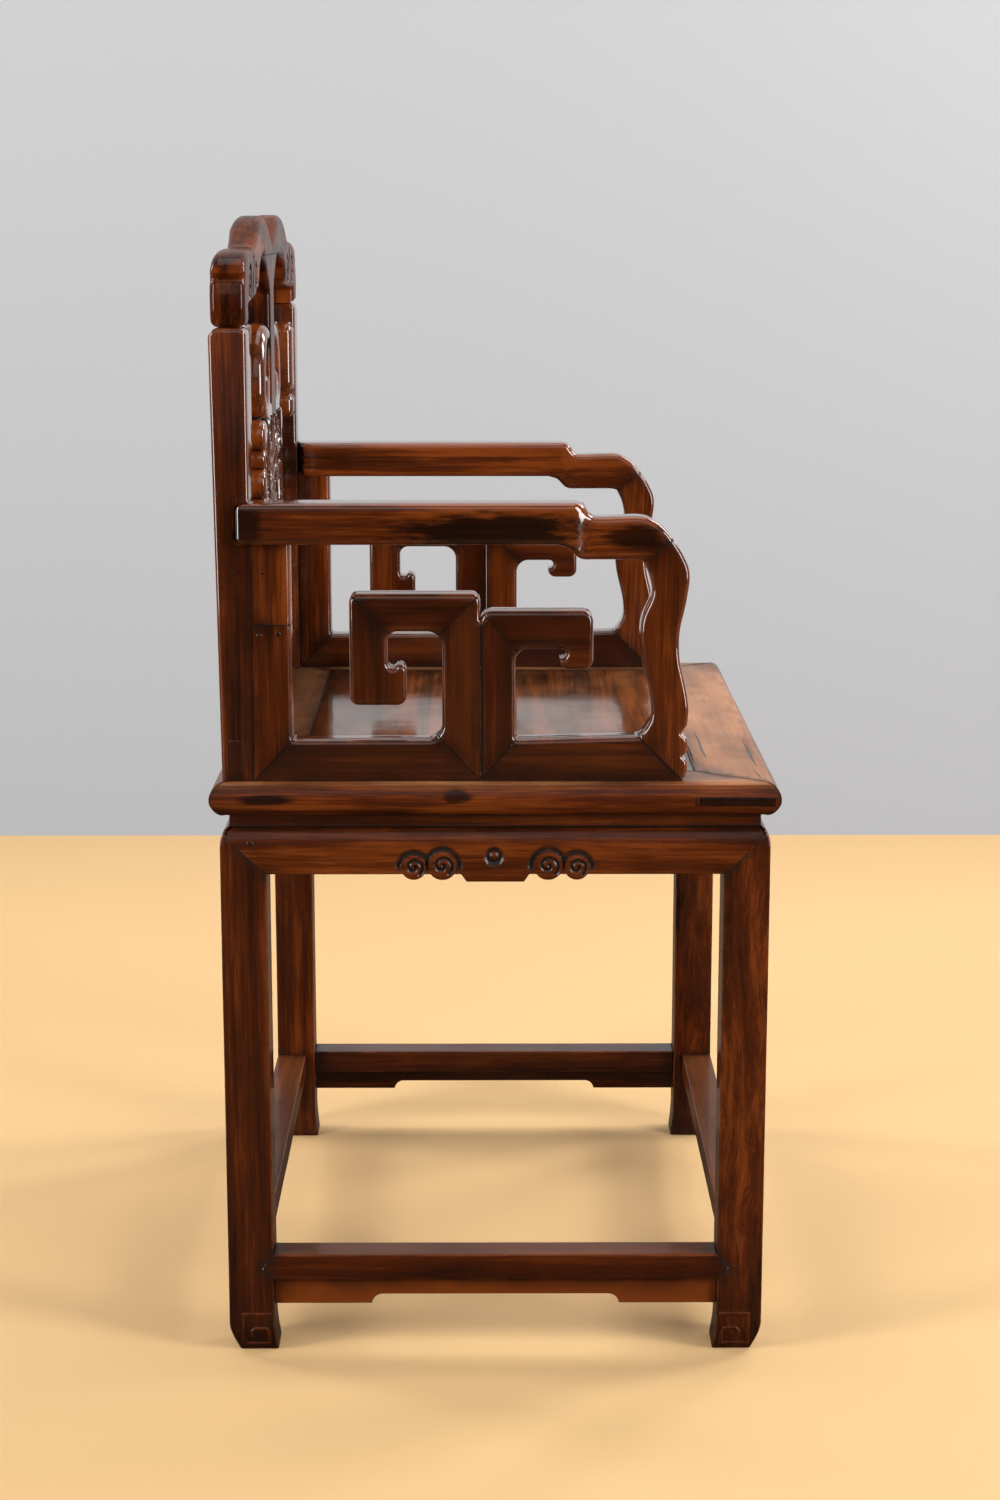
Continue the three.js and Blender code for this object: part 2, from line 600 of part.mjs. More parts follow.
// Front fret: foot rail, a hooked fret and the curved post, and the rail that the post carries
function frontFret(arm, prefix, { depth, rearBay, frontBar, hookWidth }) {
  const foot = jointGap;
  const armFront = backFront - depth;
  const joint = backFront - rearBay - jointGap / 2;
  const inner = joint - frontBar;
  const barUnder = frontFretRise - frontFretTopBar;
  const hookFront = joint - frontFretRun;
  const hookRear = hookFront + hookWidth;
  const hookLow = frontFretRise - frontHookDrop;
  const [tipDropShare, tipLeadShare] = curlShares;
  const place = ([rise, run]) => [armFront + run * postDepth, rise * armRise];
  const postLobes = [...spline(postLowerLobeShares.map(place)), ...spline(postUpperLobeShares.map(place))];
  const postFront = [...postLobes, ...spline(postFrontShares.map(place))];
  const postRear = spline(postRearShares.map(place));
  const heel = armFront + postHeelShare * postDepth;
  const body = fretFace([
    [joint, foot], [joint, frontFretRise, { round: frontFretCorner }],
    [hookFront, frontFretRise, { round: frontFretCorner }], [hookFront, hookLow, { round: toeRound }],
    [hookRear, hookLow, { round: toeRound }],
    [hookRear, barUnder - tipDropShare * eyeRadius, { bow: eyeBowShare }],
    [hookRear - tipLeadShare * eyeRadius, barUnder], [inner, barUnder, { round: fretFillet }],
    [inner, footRailRise, { round: smallFillet }], ...[...postRear].reverse(),
    ...[...postFront].reverse(), [heel, foot],
  ]);
  const mitres = [
    kerf([joint, foot], [inner, footRailRise], fretFillet),
    kerf([joint, frontFretRise], [inner, barUnder], fretFillet),
    kerf([heel, 0], postRear.at(-1), smallFillet),
  ];
  const [railInner, railOuter] = [postRear[0], postFront.at(-1)];
  const places = [
    ["foot_rail_front", (joint + armFront) / 2, footRailRise / 2],
    ["front_fret_upright", (joint + inner) / 2, frontFretRise / 2],
    ["front_fret_hook", (joint + hookFront) / 2, (frontFretRise + hookLow) / 2],
    ["front_post", armFront + postDepth / 2, railOuter[1] / 2],
  ].map(([name, y, z]) => [prefix + name, y, z]);
  nameBodies(arm, cut(body, ...mitres), places, 0x54200f);
  piece(arm, prefix + "rail", armRail(armFront, railInner, railOuter), 0x5a2611);
}

// Rail: a deep outer face that laps the post, and behind it a core that rests on the frets
function armRail(armFront, [innerY, innerZ], [outerY, outerZ]) {
  const under = armRise - railRise;
  const coreUnder = armRise - railCoreRise;
  const rearEnd = backFront + railLapLength;
  const stepStart = armFront + neckLength;
  const stepEnd = stepStart - neckStep;
  const neckUnder = neckTopShare * armRise - neckRise;
  const crown = spline([
    [outerY, outerZ + jointGap],
    ...crownShares.map(([along, up]) => [outerY + along * postDepth, up * armRise]),
    ...stepShares.map(([along, up]) => [stepEnd + along * neckStep, up * armRise]),
    [stepStart, armRise],
  ]);
  const lowerStep = (top) => bellyShares.map(([along, down]) => [
    stepStart + along * lowerStepLead, top - down * (top - neckUnder),
  ]);
  const belly = spline([
    ...lowerStep(under), [stepEnd, neckUnder], [innerY + neckEndShare * postDepth, neckUnder],
    [innerY, innerZ + jointGap],
  ]);
  const side = outline([
    ...belly.reverse(),
    [rearEnd, under, { round: railEndRound }], [rearEnd, armRise, { round: railEndRound }],
    ...crown.reverse(),
  ]);
  const innerFace = fretThickness + railInnerLap;
  const plan = outline([
    [0, armFront - overrun], [fretThickness, armFront - overrun],
    [fretThickness, stepEnd, { bow: innerSweepBowShare }], [innerFace, stepStart],
    [innerFace, rearEnd + overrun], [-railOuterLap, rearEnd + overrun],
    [-railOuterLap, stepStart, { bow: outerSweepBowShare }], [0, stepEnd],
  ]);
  const low = neckUnder - overrun;
  const high = armRise + overrun;
  const coreBelly = spline(lowerStep(coreUnder));
  const relief = outline([
    [coreBelly.at(-1)[0], low], [rearEnd + overrun, low], [rearEnd + overrun, coreUnder], ...coreBelly,
  ]);
  const housing = box(-jointGap, innerFace + overrun, backFront - jointGap, rearEnd + overrun, low, high);
  const blank = shared(alongX(side, -railOuterLap, innerFace), alongZ(plan, low, high));
  return cut(blank, alongX(relief, -jointGap, innerFace + overrun), housing);
}

// The other half of a symmetrical outline, or the other hand of a whole one, still counterclockwise
function flipped(corners) {
  const turned = corners.map(([x, z, { round = 0 } = {}], i) => {
    const { bow = 0 } = corners[(i - 1 + corners.length) % corners.length][2] || {};
    return [-x, z, { round, bow }];
  });
  return turned.reverse();
}
const symmetrical = (half) => outline([...half, ...flipped(half)]);

// Back: local Y = 0 is the front plane of the posts, and local Z = 0 is the top of the seat
function buildBack() {
  const back = new THREE.Group();
  back.position.set(0, backFront, seatHeight);
  chair.add(back);
  const postSide = outline([
    [0, jointGap], [backPostFootDepth, jointGap], [backPostTopDepth, backPostRise - jointGap],
    [0, backPostRise - jointGap],
  ]);
  const splatBack = splatInset + splatDepth;
  const hands = [
    ["right", -1, (corners) => outline(flipped(corners))],
    ["left", 1, outline],
  ];
  for (const [side, sign, hand] of hands) {
    const post = alongX(postSide, -backPostWidth / 2, backPostWidth / 2);
    piece(back, "back_post_" + side, post, 0x4d1b0e).position.x = sign * (backHalf - backPostWidth / 2);
    piece(back, "splat_cloud_" + side, alongY(hand(cloud()), splatInset, splatBack), 0x63280f);
    const bracketBody = alongY(hand(bracket()), bracketInset, bracketInset + bracketDepth);
    piece(back, "post_bracket_" + side, bracketBody, 0x55210f);
  }
  buildCrest(back);
  const reach = postInner - jointGap;
  const railFace = rectangle(-reach, reach, jointGap, bottomRailRise);
  const railBody = alongY(railFace, bottomRailInset, bottomRailInset + bottomRailDepth);
  piece(back, "back_bottom_rail", railBody, 0x4a1a0d);
  const stemTop = archTop - jointGap;
  const stem = symmetrical([
    [stemHalf, panelTop + jointGap], [stemHalf, stemTop - stemFlareRise, { bow: stemFlareBowShare }],
    [stemFlareHalf, stemTop],
  ]);
  piece(back, "splat_stem", alongY(stem, splatInset, splatBack), 0x6a2c12);
  piece(back, "splat_panel", splatPanel(), 0x5a2410);
  piece(back, "splat_foot", alongY(splatFoot(), splatInset, splatBack), 0x55210f);
}

// Crest: one lobed outline, sawn into a head and two shoulders that stand on the posts
function buildCrest(back) {
  const place = ([x, z]) => [x * backHalf, backPostRise + z * crestRise];
  const half = [
    ...spline(crestArchShares.map(place)),
    [postInner, backPostRise + crestArmpitShare * crestRise], [postInner, backPostRise],
    ...spline(crestEarShares.map(place)), ...spline(crestTopShares.map(place)).slice(0, -1),
  ];
  const notch = place(crestTopShares.at(-1));
  const whole = alongY(outline([...half, notch, ...flipped(half)]), 0, crestDepth);
  const past = crestDepth + overrun;
  const joints = [-1, 1].map((sign) => {
    const [low, high] = [sign * crestJointOffset - jointGap / 2, sign * crestJointOffset + jointGap / 2];
    return box(low, high, -overrun, past, backPostRise, backRise + overrun);
  });
  const scoops = [-1, 1].map((sign) => {
    const low = sign * crestScoopOffset - crestScoopHalf;
    const high = sign * crestScoopOffset + crestScoopHalf;
    const bow = crestScoop / (high - low);
    const plan = outline([[low, crestDepth, { bow }], [high, crestDepth], [high, past], [low, past]]);
    return alongZ(plan, backPostRise - overrun, backRise + overrun);
  });
  const names = ["back_crest_shoulder_right", "back_crest_head", "back_crest_shoulder_left"];
  const bodies = cut(whole, ...joints, ...scoops).decompose();
  bodies.sort((a, b) => a.boundingBox().min[0] - b.boundingBox().min[0]);
  bodies.forEach((body, i) => piece(back, names[i], body, 0x5a2410));
}

// Cloud scroll that stands beside the stem and meets it at both ends, with a curled knob inside
function cloud() {
  const low = panelTop + jointGap;
  const inner = stemHalf + jointGap;
  const top = low + cloudRise;
  const hollow = low + cloudBar;
  const [eyeInner, eyeOuter] = [cloudEyeOffset - cloudEyeRadius, cloudEyeOffset + cloudEyeRadius];
  const eyeLevel = low + cloudEyeRise;
  return [
    [inner, low], [cloudHalf - cloudBar, low, { bow: cloudHeelBowShare }],
    [cloudHalf, low + cloudRise / 3, { bow: cloudSideBowShare }],
    [cloudHalf - cloudBar / 2, top - cloudRise / 4, { bow: cloudTopBowShare }], [inner, top],
    [inner, top - cloudBar, { bow: -cloudTopBowShare }],
    [cloudHalf - cloudBar - cloudBar / 2, top - cloudRise / 3, { bow: -cloudSideBowShare }],
    [cloudHalf - cloudBar, low + cloudRise / 3, { bow: -cloudHeelBowShare }],
    [eyeOuter, hollow], [eyeOuter, eyeLevel, { bow: toeBowShare }], [eyeInner, eyeLevel],
    [eyeInner, hollow], [inner, hollow],
  ];
}

// Lobed bracket on the inner side of the left post: rounded lobes on a narrow strip
function bracket() {
  const outer = postInner - jointGap;
  const root = outer - bracketRoot;
  const high = backPostRise - bracketDrop;
  const lobes = bracketLobeRises.flatMap((rise, i) => {
    const top = high - bracketLobeRises.slice(0, i).reduce((sum, above) => sum + above, 0);
    const reach = root - bracketLobeReaches[i];
    const round = Math.min(rise, bracketLobeReaches[i]) / 2;
    return [
      [root, top - bracketCusp / 2], [reach, top - bracketCusp / 2, { round }],
      [reach, top - rise + bracketCusp / 2, { round }], [root, top - rise + bracketCusp / 2],
    ];
  });
  const low = lobes.at(-1)[1] - bracketCusp / 2;
  return [[outer, low], [outer, high], [root, high], ...lobes, [root, low]];
}

// Carved panel: lobed sides and two slots
function splatPanel() {
  const low = panelTop - panelRise;
  const last = panelLobeShares.length - 1;
  const half = panelLobeShares.map((share, i) => [
    panelHalf, low + share * panelRise, { bow: i < last ? panelLobeBowShare : 0 },
  ]);
  const blank = alongY(symmetrical(half), splatInset, splatInset + splatDepth);
  const middle = low + panelRise / 2;
  const slots = [-1, 1].map((sign) => {
    const centre = sign * panelSlotOffset;
    const round = panelSlotHalf - smallFillet / 2;
    const corners = [[-1, -1], [1, -1], [1, 1], [-1, 1]].map(([x, z]) => [
      centre + x * panelSlotHalf, middle + (z * panelSlotRise) / 2, { round },
    ]);
    return alongY(outline(corners), splatInset - overrun, splatInset + splatDepth + overrun);
  });
  return cut(blank, ...slots);
}

// Splat foot: an arch that spreads to the bottom rail
function splatFoot() {
  const top = panelTop - panelRise - jointGap;
  const low = bottomRailRise + jointGap;
  const corners = [
    [footOpeningHalf, low], [footWaistHalf + footFlare, low, { bow: footHeelBowShare }],
    [footWaistHalf, low + (top - low) / 2, { bow: -footHeelBowShare }], [panelHalf, top],
  ];
  const arch = [
    [-footOpeningHalf, low], [-footOpeningHalf, low + footOpeningRise / 2, { bow: -footArchBowShare }],
    [0, low + footOpeningRise, { bow: -footArchBowShare }], [footOpeningHalf, low + footOpeningRise / 2],
  ];
  return outline([...corners, ...flipped(corners).slice(0, -1), ...arch]);
}

buildBase();
buildArm("right_arm_", {
  side: 1,
  scarfed: true,
  depth: rightArmDepth,
  rearBay: rightRearBayDepth,
  rearRun: rightRearFretRun,
  frontBar: rightFrontFretBar,
  hookWidth: rightFrontHookWidth,
});
buildArm("left_arm_", {
  side: -1,
  scarfed: false,
  depth: leftArmDepth,
  rearBay: leftRearBayDepth,
  rearRun: leftRearFretRun,
  frontBar: leftFrontFretBar,
  hookWidth: leftFrontHookWidth,
});
buildBack();

export default chair;
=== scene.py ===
import math
import zlib

import bmesh
import bpy
import numpy as np
from bpy.props import FloatProperty, FloatVectorProperty, PointerProperty
from mathutils import Matrix, Vector, geometry
from mathutils.bvhtree import BVHTree


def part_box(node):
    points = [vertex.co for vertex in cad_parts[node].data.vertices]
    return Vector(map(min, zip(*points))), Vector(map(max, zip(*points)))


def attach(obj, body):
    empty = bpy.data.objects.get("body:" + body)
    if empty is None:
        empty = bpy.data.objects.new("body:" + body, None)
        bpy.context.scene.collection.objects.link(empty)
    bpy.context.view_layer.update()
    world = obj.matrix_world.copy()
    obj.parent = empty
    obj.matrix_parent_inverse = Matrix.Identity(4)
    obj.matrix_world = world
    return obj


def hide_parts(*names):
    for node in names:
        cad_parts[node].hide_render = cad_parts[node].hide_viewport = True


bl_info = {
    "name": "Hardwood armchair",
    "version": (1, 0, 0),
    "blender": (4, 5, 0),
    "location": "3D View > Sidebar > Armchair",
    "description": "Builds the carved pieces, wood finishes and stage of a hardwood armchair",
    "category": "Object",
}

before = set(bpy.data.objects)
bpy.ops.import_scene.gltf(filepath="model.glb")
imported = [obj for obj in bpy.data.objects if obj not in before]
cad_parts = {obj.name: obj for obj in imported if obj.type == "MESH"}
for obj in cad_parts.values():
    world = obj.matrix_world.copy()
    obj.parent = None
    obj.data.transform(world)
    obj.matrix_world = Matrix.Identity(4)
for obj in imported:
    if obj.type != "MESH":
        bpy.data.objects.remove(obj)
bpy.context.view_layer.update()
BOXES = {node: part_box(node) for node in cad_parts}
MM = 0.001
AXES = {"X": (1, 2, 0), "Y": (0, 2, 1), "Z": (0, 1, 2)}  # across, up and through for each axis
LEGS = ("front_right", "front_left", "back_left", "back_right")
SIDES = {"front": "X", "left": "Y", "back": "X", "right": "Y"}  # each side of the seat, and the way it runs
ARMS = ("right", "left")

TOUCH = 0.6 * MM  # faces nearer to each other than this are joined
CRISP = math.radians(27)  # an edge that turns more than this is rounded
SMOOTH = math.radians(38)  # an edge that turns less than this is shaded smooth
ARC_COSINE = math.cos(math.radians(26))  # two sides that turn less than this are parts of an arc
ARC_RATIO = 2.6  # a side this much longer than the next one is no part of its arc
SPLIT_STEP = 12 * MM  # length of the parts that a partly open edge is cut into
OUTLINE_STEP = 3.5 * MM  # longest side of a plate's outline
JOINT_SHADE_REACH = 14 * MM  # how far the painted shade reaches out of a joint
BLACK = (0, 0, 0)


# Sizes and colours that a user would change

class ArmchairShape(bpy.types.PropertyGroup):
    arris: FloatProperty(
        name="Arris", description="Rounding of the arms' and posts' worn edges",
        default=4.4 * MM, min=0, unit="LENGTH")
    crest_arris: FloatProperty(
        name="Crest arris", description="Rounding of the crest's and clouds' edges",
        default=6.5 * MM, min=0, unit="LENGTH")
    base_arris: FloatProperty(
        name="Base arris", description="Rounding of the legs' and stretchers' edges",
        default=1.6 * MM, min=0, unit="LENGTH")
    seam: FloatProperty(
        name="Seam", description="Rounding along the joints",
        default=0.4 * MM, min=0, unit="LENGTH")
    scroll_depth: FloatProperty(
        name="Scroll depth", description="Depth of the grooves in the aprons",
        default=1.8 * MM, min=0, unit="LENGTH")
    relief_depth: FloatProperty(
        name="Relief depth", description="Depth of the ground behind the back's foliage",
        default=7 * MM, min=0, unit="LENGTH")
    wander: FloatProperty(
        name="Wander", description="How far hand planing leaves a face from flat",
        default=0.22 * MM, min=0, unit="LENGTH")


class ArmchairFinish(bpy.types.PropertyGroup):
    dark: FloatVectorProperty(
        name="Dark streaks", description="Nearly black streaks and patches",
        subtype="COLOR", size=3, default=(0.0085, 0.0021, 0.0009))
    warm: FloatVectorProperty(
        name="Heartwood", description="Red-brown ground of the wood",
        subtype="COLOR", size=3, default=(0.072, 0.0118, 0.0016))
    bright: FloatVectorProperty(
        name="Light streaks", description="Orange-brown streaks and worn edges",
        subtype="COLOR", size=3, default=(0.205, 0.043, 0.0058))
    # Painted light in part: upward faces take this lighter colour, partly for real sun fading and partly for
    # light falling from above
    faded_and_lit: FloatVectorProperty(
        name="Faded wood", description="Sun-bleached orange-brown of the seat's upper face",
        subtype="COLOR", size=3, default=(0.56, 0.235, 0.09))
    # This colour also darkens carved cuts in step with their depth
    soil: FloatVectorProperty(
        name="Soil", description="Old wax and dust in the joints and grooves",
        subtype="COLOR", size=3, default=(0.012, 0.0085, 0.006))


class ArmchairStage(bpy.types.PropertyGroup):
    camera_place: FloatVectorProperty(
        name="Camera place", description="Where the camera stands",
        subtype="XYZ", unit="LENGTH", size=3, default=(-2.46906, 0.00496, 0.97471))
    camera_aim: FloatVectorProperty(
        name="Camera aim", description="Direction in which the camera looks",
        subtype="XYZ", size=3, default=(0.979945, -0.004008, -0.199228))
    lens: FloatProperty(
        name="Lens", description="Focal length of the camera, in millimetres",
        default=64.28, min=1)
    floor: FloatVectorProperty(
        name="Floor", description="Colour of the floor",
        subtype="COLOR", size=3, default=(0.77, 0.49, 0.225))
    wall: FloatVectorProperty(
        name="Wall", description="Colour of the backdrop",
        subtype="COLOR", size=3, default=(0.515, 0.52, 0.533))


# Trees of nodes

class Tree:
    """A node tree that is written one call to a node"""

    def __init__(self, tree):
        self.tree = tree

    def node(self, kind, settings=(), **feeds):
        made = self.tree.nodes.new(kind)
        for key, value in dict(settings).items():
            setattr(made, key, value)
        for key, value in feeds.items():
            self.feed(made.inputs[key.replace("_", " ")], value)
        return made

    def feed(self, socket, value):
        if isinstance(value, bpy.types.NodeSocket):
            self.tree.links.new(value, socket)
        else:
            socket.default_value = value

    def sum(self, operation, *values, clamp=False):
        made = self.node("ShaderNodeMath", {"operation": operation, "use_clamp": clamp})
        for socket, value in zip(made.inputs, values):
            self.feed(socket, value)
        return made.outputs[0]

    def vector(self, operation, *values):
        made = self.node("ShaderNodeVectorMath", {"operation": operation})
        for socket, value in zip(made.inputs, values):
            self.feed(socket, value)
        return made.outputs["Value"] if operation in ("LENGTH", "DISTANCE") else made.outputs[0]

    def noise(self, vector, scale, detail, roughness, output="Fac"):
        made = self.node("ShaderNodeTexNoise", Vector=vector, Scale=scale, Detail=detail,
                         Roughness=roughness)
        return made.outputs[output]

    def stored(self, name, output="Fac"):
        return self.node("ShaderNodeAttribute", {"attribute_name": name}).outputs[output]

    def reach(self, value, low, high, start=0.0, end=1.0):
        made = self.node("ShaderNodeMapRange", {"interpolation_type": "SMOOTHSTEP"}, Value=value,
                         From_Min=low, From_Max=high, To_Min=start, To_Max=end)
        return made.outputs["Result"]

    def mix(self, factor, first, second, blend="MIX"):
        made = self.node("ShaderNodeMix", {"data_type": "RGBA", "blend_type": blend})
        self.feed(made.inputs["Factor"], factor)
        for name, value in (("A", first), ("B", second)):
            socket = next(s for s in made.inputs if s.name == name and s.type == "RGBA")
            self.feed(socket, value)
        return next(s for s in made.outputs if s.type == "RGBA")

    def group(self, name, **feeds):
        return self.node("ShaderNodeGroup", {"node_tree": bpy.data.node_groups[name]}, **feeds).outputs

    def blend(self, factor, first, second):
        made = self.node("ShaderNodeMixShader", Fac=factor)
        self.feed(made.inputs[1], first)
        self.feed(made.inputs[2], second)
        return made.outputs[0]


def cleared(owner):
    """The emptied tree of a material or a world"""
    owner.use_nodes = True
    owner.node_tree.nodes.clear()
    return Tree(owner.node_tree)


def effect(name, inputs, outputs):
    """A new shader group with these sockets: its tree, what it is given and what it gives"""
    made = bpy.data.node_groups.new(name, "ShaderNodeTree")
    for label, kind, value in inputs:
        socket = made.interface.new_socket(label, in_out="INPUT", socket_type=kind)
        if value is not None:
            socket.default_value = value
    for label, kind in outputs:
        made.interface.new_socket(label, in_out="OUTPUT", socket_type=kind)
    tree = Tree(made)
    return tree, tree.node("NodeGroupInput").outputs, tree.node("NodeGroupOutput").inputs


FLOAT, VECTOR = "NodeSocketFloat", "NodeSocketVector"


def wood_figure():
    """Streaks and fibres that run along the third grain coordinate"""
    tree, given, result = effect(
        "wood_figure",
        [("Grain", VECTOR, None), ("Sway", FLOAT, 0.008), ("Sway Scale", FLOAT, 7.0),
         ("Stretch", FLOAT, 0.035), ("Streak Scale", FLOAT, 62.0), ("Contrast", FLOAT, 1.0)],
        [("Tone", FLOAT), ("Height", FLOAT)])
    slow = tree.vector("MULTIPLY", given["Grain"], (1, 1, 0.3))
    drift = tree.noise(slow, given["Sway Scale"], 2.0, 0.45, "Color")
    drift = tree.vector("SUBTRACT", drift, (0.5, 0.5, 0.5))
    swayed = tree.node("ShaderNodeVectorMath", {"operation": "SCALE"}, Scale=given["Sway"])
    tree.feed(swayed.inputs[0], drift)
    placed = tree.vector("ADD", given["Grain"], swayed.outputs[0])
    stretch = tree.node("ShaderNodeCombineXYZ", X=1.0, Y=1.0, Z=given["Stretch"]).outputs[0]
    drawn = tree.vector("MULTIPLY", placed, stretch)
    layers = [(tree.noise(slow, 17.0, 3.0, 0.6), 1.2)]
    for finer, detail, roughness, weight in (
            (1.0, 3.0, 0.55, 1.25), (5.5, 3.0, 0.6, 0.8), (24.0, 1.0, 0.5, 0.4)):
        scale = tree.sum("MULTIPLY", given["Streak Scale"], finer)
        layers.append((tree.noise(drawn, scale, detail, roughness), weight))
    tone = 0.0
    for layer, weight in layers:
        tone = tree.sum("MULTIPLY_ADD", tree.sum("SUBTRACT", layer, 0.5), weight, tone)
    tone = tree.sum("MULTIPLY_ADD", tone, given["Contrast"], 0.5, clamp=True)
    tree.feed(result["Tone"], tone)
    fine, fibre = layers[-2][0], layers[-1][0]
    tree.feed(result["Height"], tree.sum("MULTIPLY_ADD", fine, 0.5, tree.sum("MULTIPLY", fibre, 0.35)))


def dark_patch():
    """Mask of a soft blot around a place, with a ragged edge"""
    tree, given, result = effect(
        "dark_patch",
        [("Place", VECTOR, None), ("Centre", VECTOR, (0, 0, 0)), ("Reach", VECTOR, (0.1, 0.1, 0.1)),
         ("Ragged", FLOAT, 1.6)],
        [("Mask", FLOAT)])
    away = tree.vector("SUBTRACT", given["Place"], given["Centre"])
    away = tree.vector("LENGTH", tree.vector("DIVIDE", away, given["Reach"]))
    streaks = tree.noise(tree.vector("MULTIPLY", given["Place"], (110, 24, 110)), 1.0, 4.0, 0.65)
    ragged = tree.sum("MULTIPLY", tree.sum("SUBTRACT", streaks, 0.5), given["Ragged"])
    tree.feed(result["Mask"], tree.reach(tree.sum("ADD", away, ragged), 0.6, 1.15, 1.0, 0.0))


def wear_and_soil():
    """Edge wear, soil and painted shade near joints, from the mesh's own values, broken up by noise"""
    broken = {
        "Wear": (28.0, 3.0, 0.42, 0.66, 0.0),
        "Soil": (90.0, 2.0, 0.2, 0.55, 0.55),
        "Shade": (21.0, 4.0, 0.25, 0.62, 0.25),
    }
    tree, given, result = effect(
        "wear_and_soil", [("Place", VECTOR, None), *((name, FLOAT, 0.0) for name in broken)],
        [(name, FLOAT) for name in broken])
    for name, (scale, detail, low, high, least) in broken.items():
        patchy = tree.reach(tree.noise(given["Place"], scale, detail, 0.6), low, high, least, 1.0)
        tree.feed(result[name], tree.sum("MULTIPLY", given[name], patchy, clamp=True))


def hand_polish():
    """Height and dullness of a hand-rubbed wax"""
    tree, given, result = effect(
        "hand_polish",
        [("Place", VECTOR, None), ("Height", FLOAT, 0.0)],
        [("Height", FLOAT), ("Dull", FLOAT)])
    ripple = tree.noise(given["Place"], 34.0, 2.0, 0.4)
    tree.feed(result["Height"], tree.sum("MULTIPLY_ADD", given["Height"], 0.08, ripple))
    smear = tree.noise(given["Place"], 15.0, 4.0, 0.65)
    tree.feed(result["Dull"], tree.reach(smear, 0.35, 0.75))


def mixed(first, second, share):
    """A colour between two others, with its alpha"""
    return (*(a + (b - a) * share for a, b in zip(first, second)), 1)


def hardwood(name, tone=0.0, gloss=0.2, sway=0.008, sway_scale=7.0, stretch=0.035, streaks=62.0,
             patches=(), contrast=1.0, coat=0.4, fade_and_top_light=0.0, shine=0.15):
    """A waxed hardwood. Tone moves its colours towards orange (above 0) or black (below 0), and the fading
    setting gives how far its upper faces are lightened, partly by real fading and partly as painted light
    from above."""
    finish = bpy.context.scene.armchair_finish
    material = bpy.data.materials.new(name)
    tree = cleared(material)
    place = tree.node("ShaderNodeTexCoord").outputs["Object"]
    grain = tree.stored("grain", "Vector")
    figure = tree.group("wood_figure", Grain=grain, Sway=sway, Sway_Scale=sway_scale, Stretch=stretch,
                        Streak_Scale=streaks, Contrast=contrast)
    lean = finish.bright if tone > 0 else finish.dark
    dark, warm, bright = (
        mixed(shade, lean, abs(tone)) for shade in (finish.dark, finish.warm, finish.bright))
    ramp = tree.node("ShaderNodeValToRGB", Fac=figure["Tone"])
    stops = ramp.color_ramp.elements
    stops[0].position, stops[0].color = 0.08, dark
    stops[1].position, stops[1].color = 0.92, bright
    stops.new(0.52).color = warm
    colour = ramp.outputs["Color"]
    # Painted light in part: upward faces are lightened, for real fading and for light falling from above
    if fade_and_top_light:
        blotched = tree.noise(tree.vector("MULTIPLY", grain, (1, 1, 0.4)), 13.0, 5.0, 0.62)
        faded_and_lit = tree.sum("MULTIPLY", tree.stored("top"), tree.reach(blotched, 0.3, 0.62, 0.2, 1.0))
        light = tree.mix(figure["Tone"], mixed(finish.warm, finish.faded_and_lit, 0.55), (*finish.faded_and_lit, 1))
        colour = tree.mix(tree.sum("MULTIPLY", faded_and_lit, fade_and_top_light), colour, light)
    for centre, reach, strength in patches:
        mask = tree.group("dark_patch", Place=place, Centre=centre, Reach=reach)["Mask"]
        colour = tree.mix(tree.sum("MULTIPLY", mask, strength), colour, mixed(finish.dark, BLACK, 0.35))
    marks = tree.group("wear_and_soil", Place=place, Wear=tree.stored("wear"), Soil=tree.stored("soil"),
                       Shade=tree.stored("shade"))
    # Painted shade: the colour darkens near joints, and towards the floor on dressed pieces
    colour = tree.mix(marks["Shade"], colour, mixed(finish.dark, BLACK, 0.2))
    colour = tree.mix(tree.sum("MULTIPLY", marks["Wear"], 0.6), colour, (*finish.bright, 1))
    colour = tree.mix(marks["Soil"], colour, (*finish.soil, 1))
    polish = tree.group("hand_polish", Place=place, Height=figure["Height"])
    rough = tree.sum("MULTIPLY_ADD", polish["Dull"], 0.14, gloss)
    rough = tree.sum("MULTIPLY_ADD", marks["Soil"], 0.35, rough, clamp=True)
    bump = tree.node("ShaderNodeBump", Strength=0.35, Distance=0.0006, Height=polish["Height"])
    shader = tree.node(
        "ShaderNodeBsdfPrincipled", Base_Color=colour, Roughness=rough, Normal=bump.outputs[0],
        Specular_IOR_Level=shine, Coat_Weight=coat, Coat_Roughness=0.06, Coat_IOR=1.6)
    tree.node("ShaderNodeOutputMaterial", Surface=shader.outputs[0])


# Meshes

def cad_solid(node):
    """The welded mesh of a CAD node, with each flat face in one piece"""
    made = bmesh.new()
    made.from_mesh(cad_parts[node].data)
    bmesh.ops.remove_doubles(made, verts=made.verts, dist=4e-6)
    bmesh.ops.dissolve_limit(made, angle_limit=math.radians(0.7), use_dissolve_boundaries=False,
                             verts=made.verts, edges=made.edges)
    made.normal_update()
    return made


def neighbours(node):
    """A tree of the faces of the CAD nodes that lie against this one"""
    low, high = BOXES[node]
    points, faces = [], []
    for other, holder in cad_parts.items():
        other_low, other_high = BOXES[other]
        apart = any(other_low[i] > high[i] + MM or other_high[i] < low[i] - MM for i in range(3))
        if other == node or apart:
            continue
        start = len(points)
        points += [v.co.copy() for v in holder.data.vertices]
        faces += [[start + i for i in face.vertices] for face in holder.data.polygons]
    return BVHTree.FromPolygons(points, faces) if points else None


def touching(tree, point):
    return tree is not None and tree.find_nearest(point, TOUCH)[0] is not None


def point_on(axis, spot, level):
    """The point of a spot in the plane across an axis, at a level along it"""
    point = Vector((0, 0, 0))
    for index, value in zip(AXES[axis], (*spot, level)):
        point[index] = value
    return point


def crc(name):
    return zlib.crc32(name.encode())


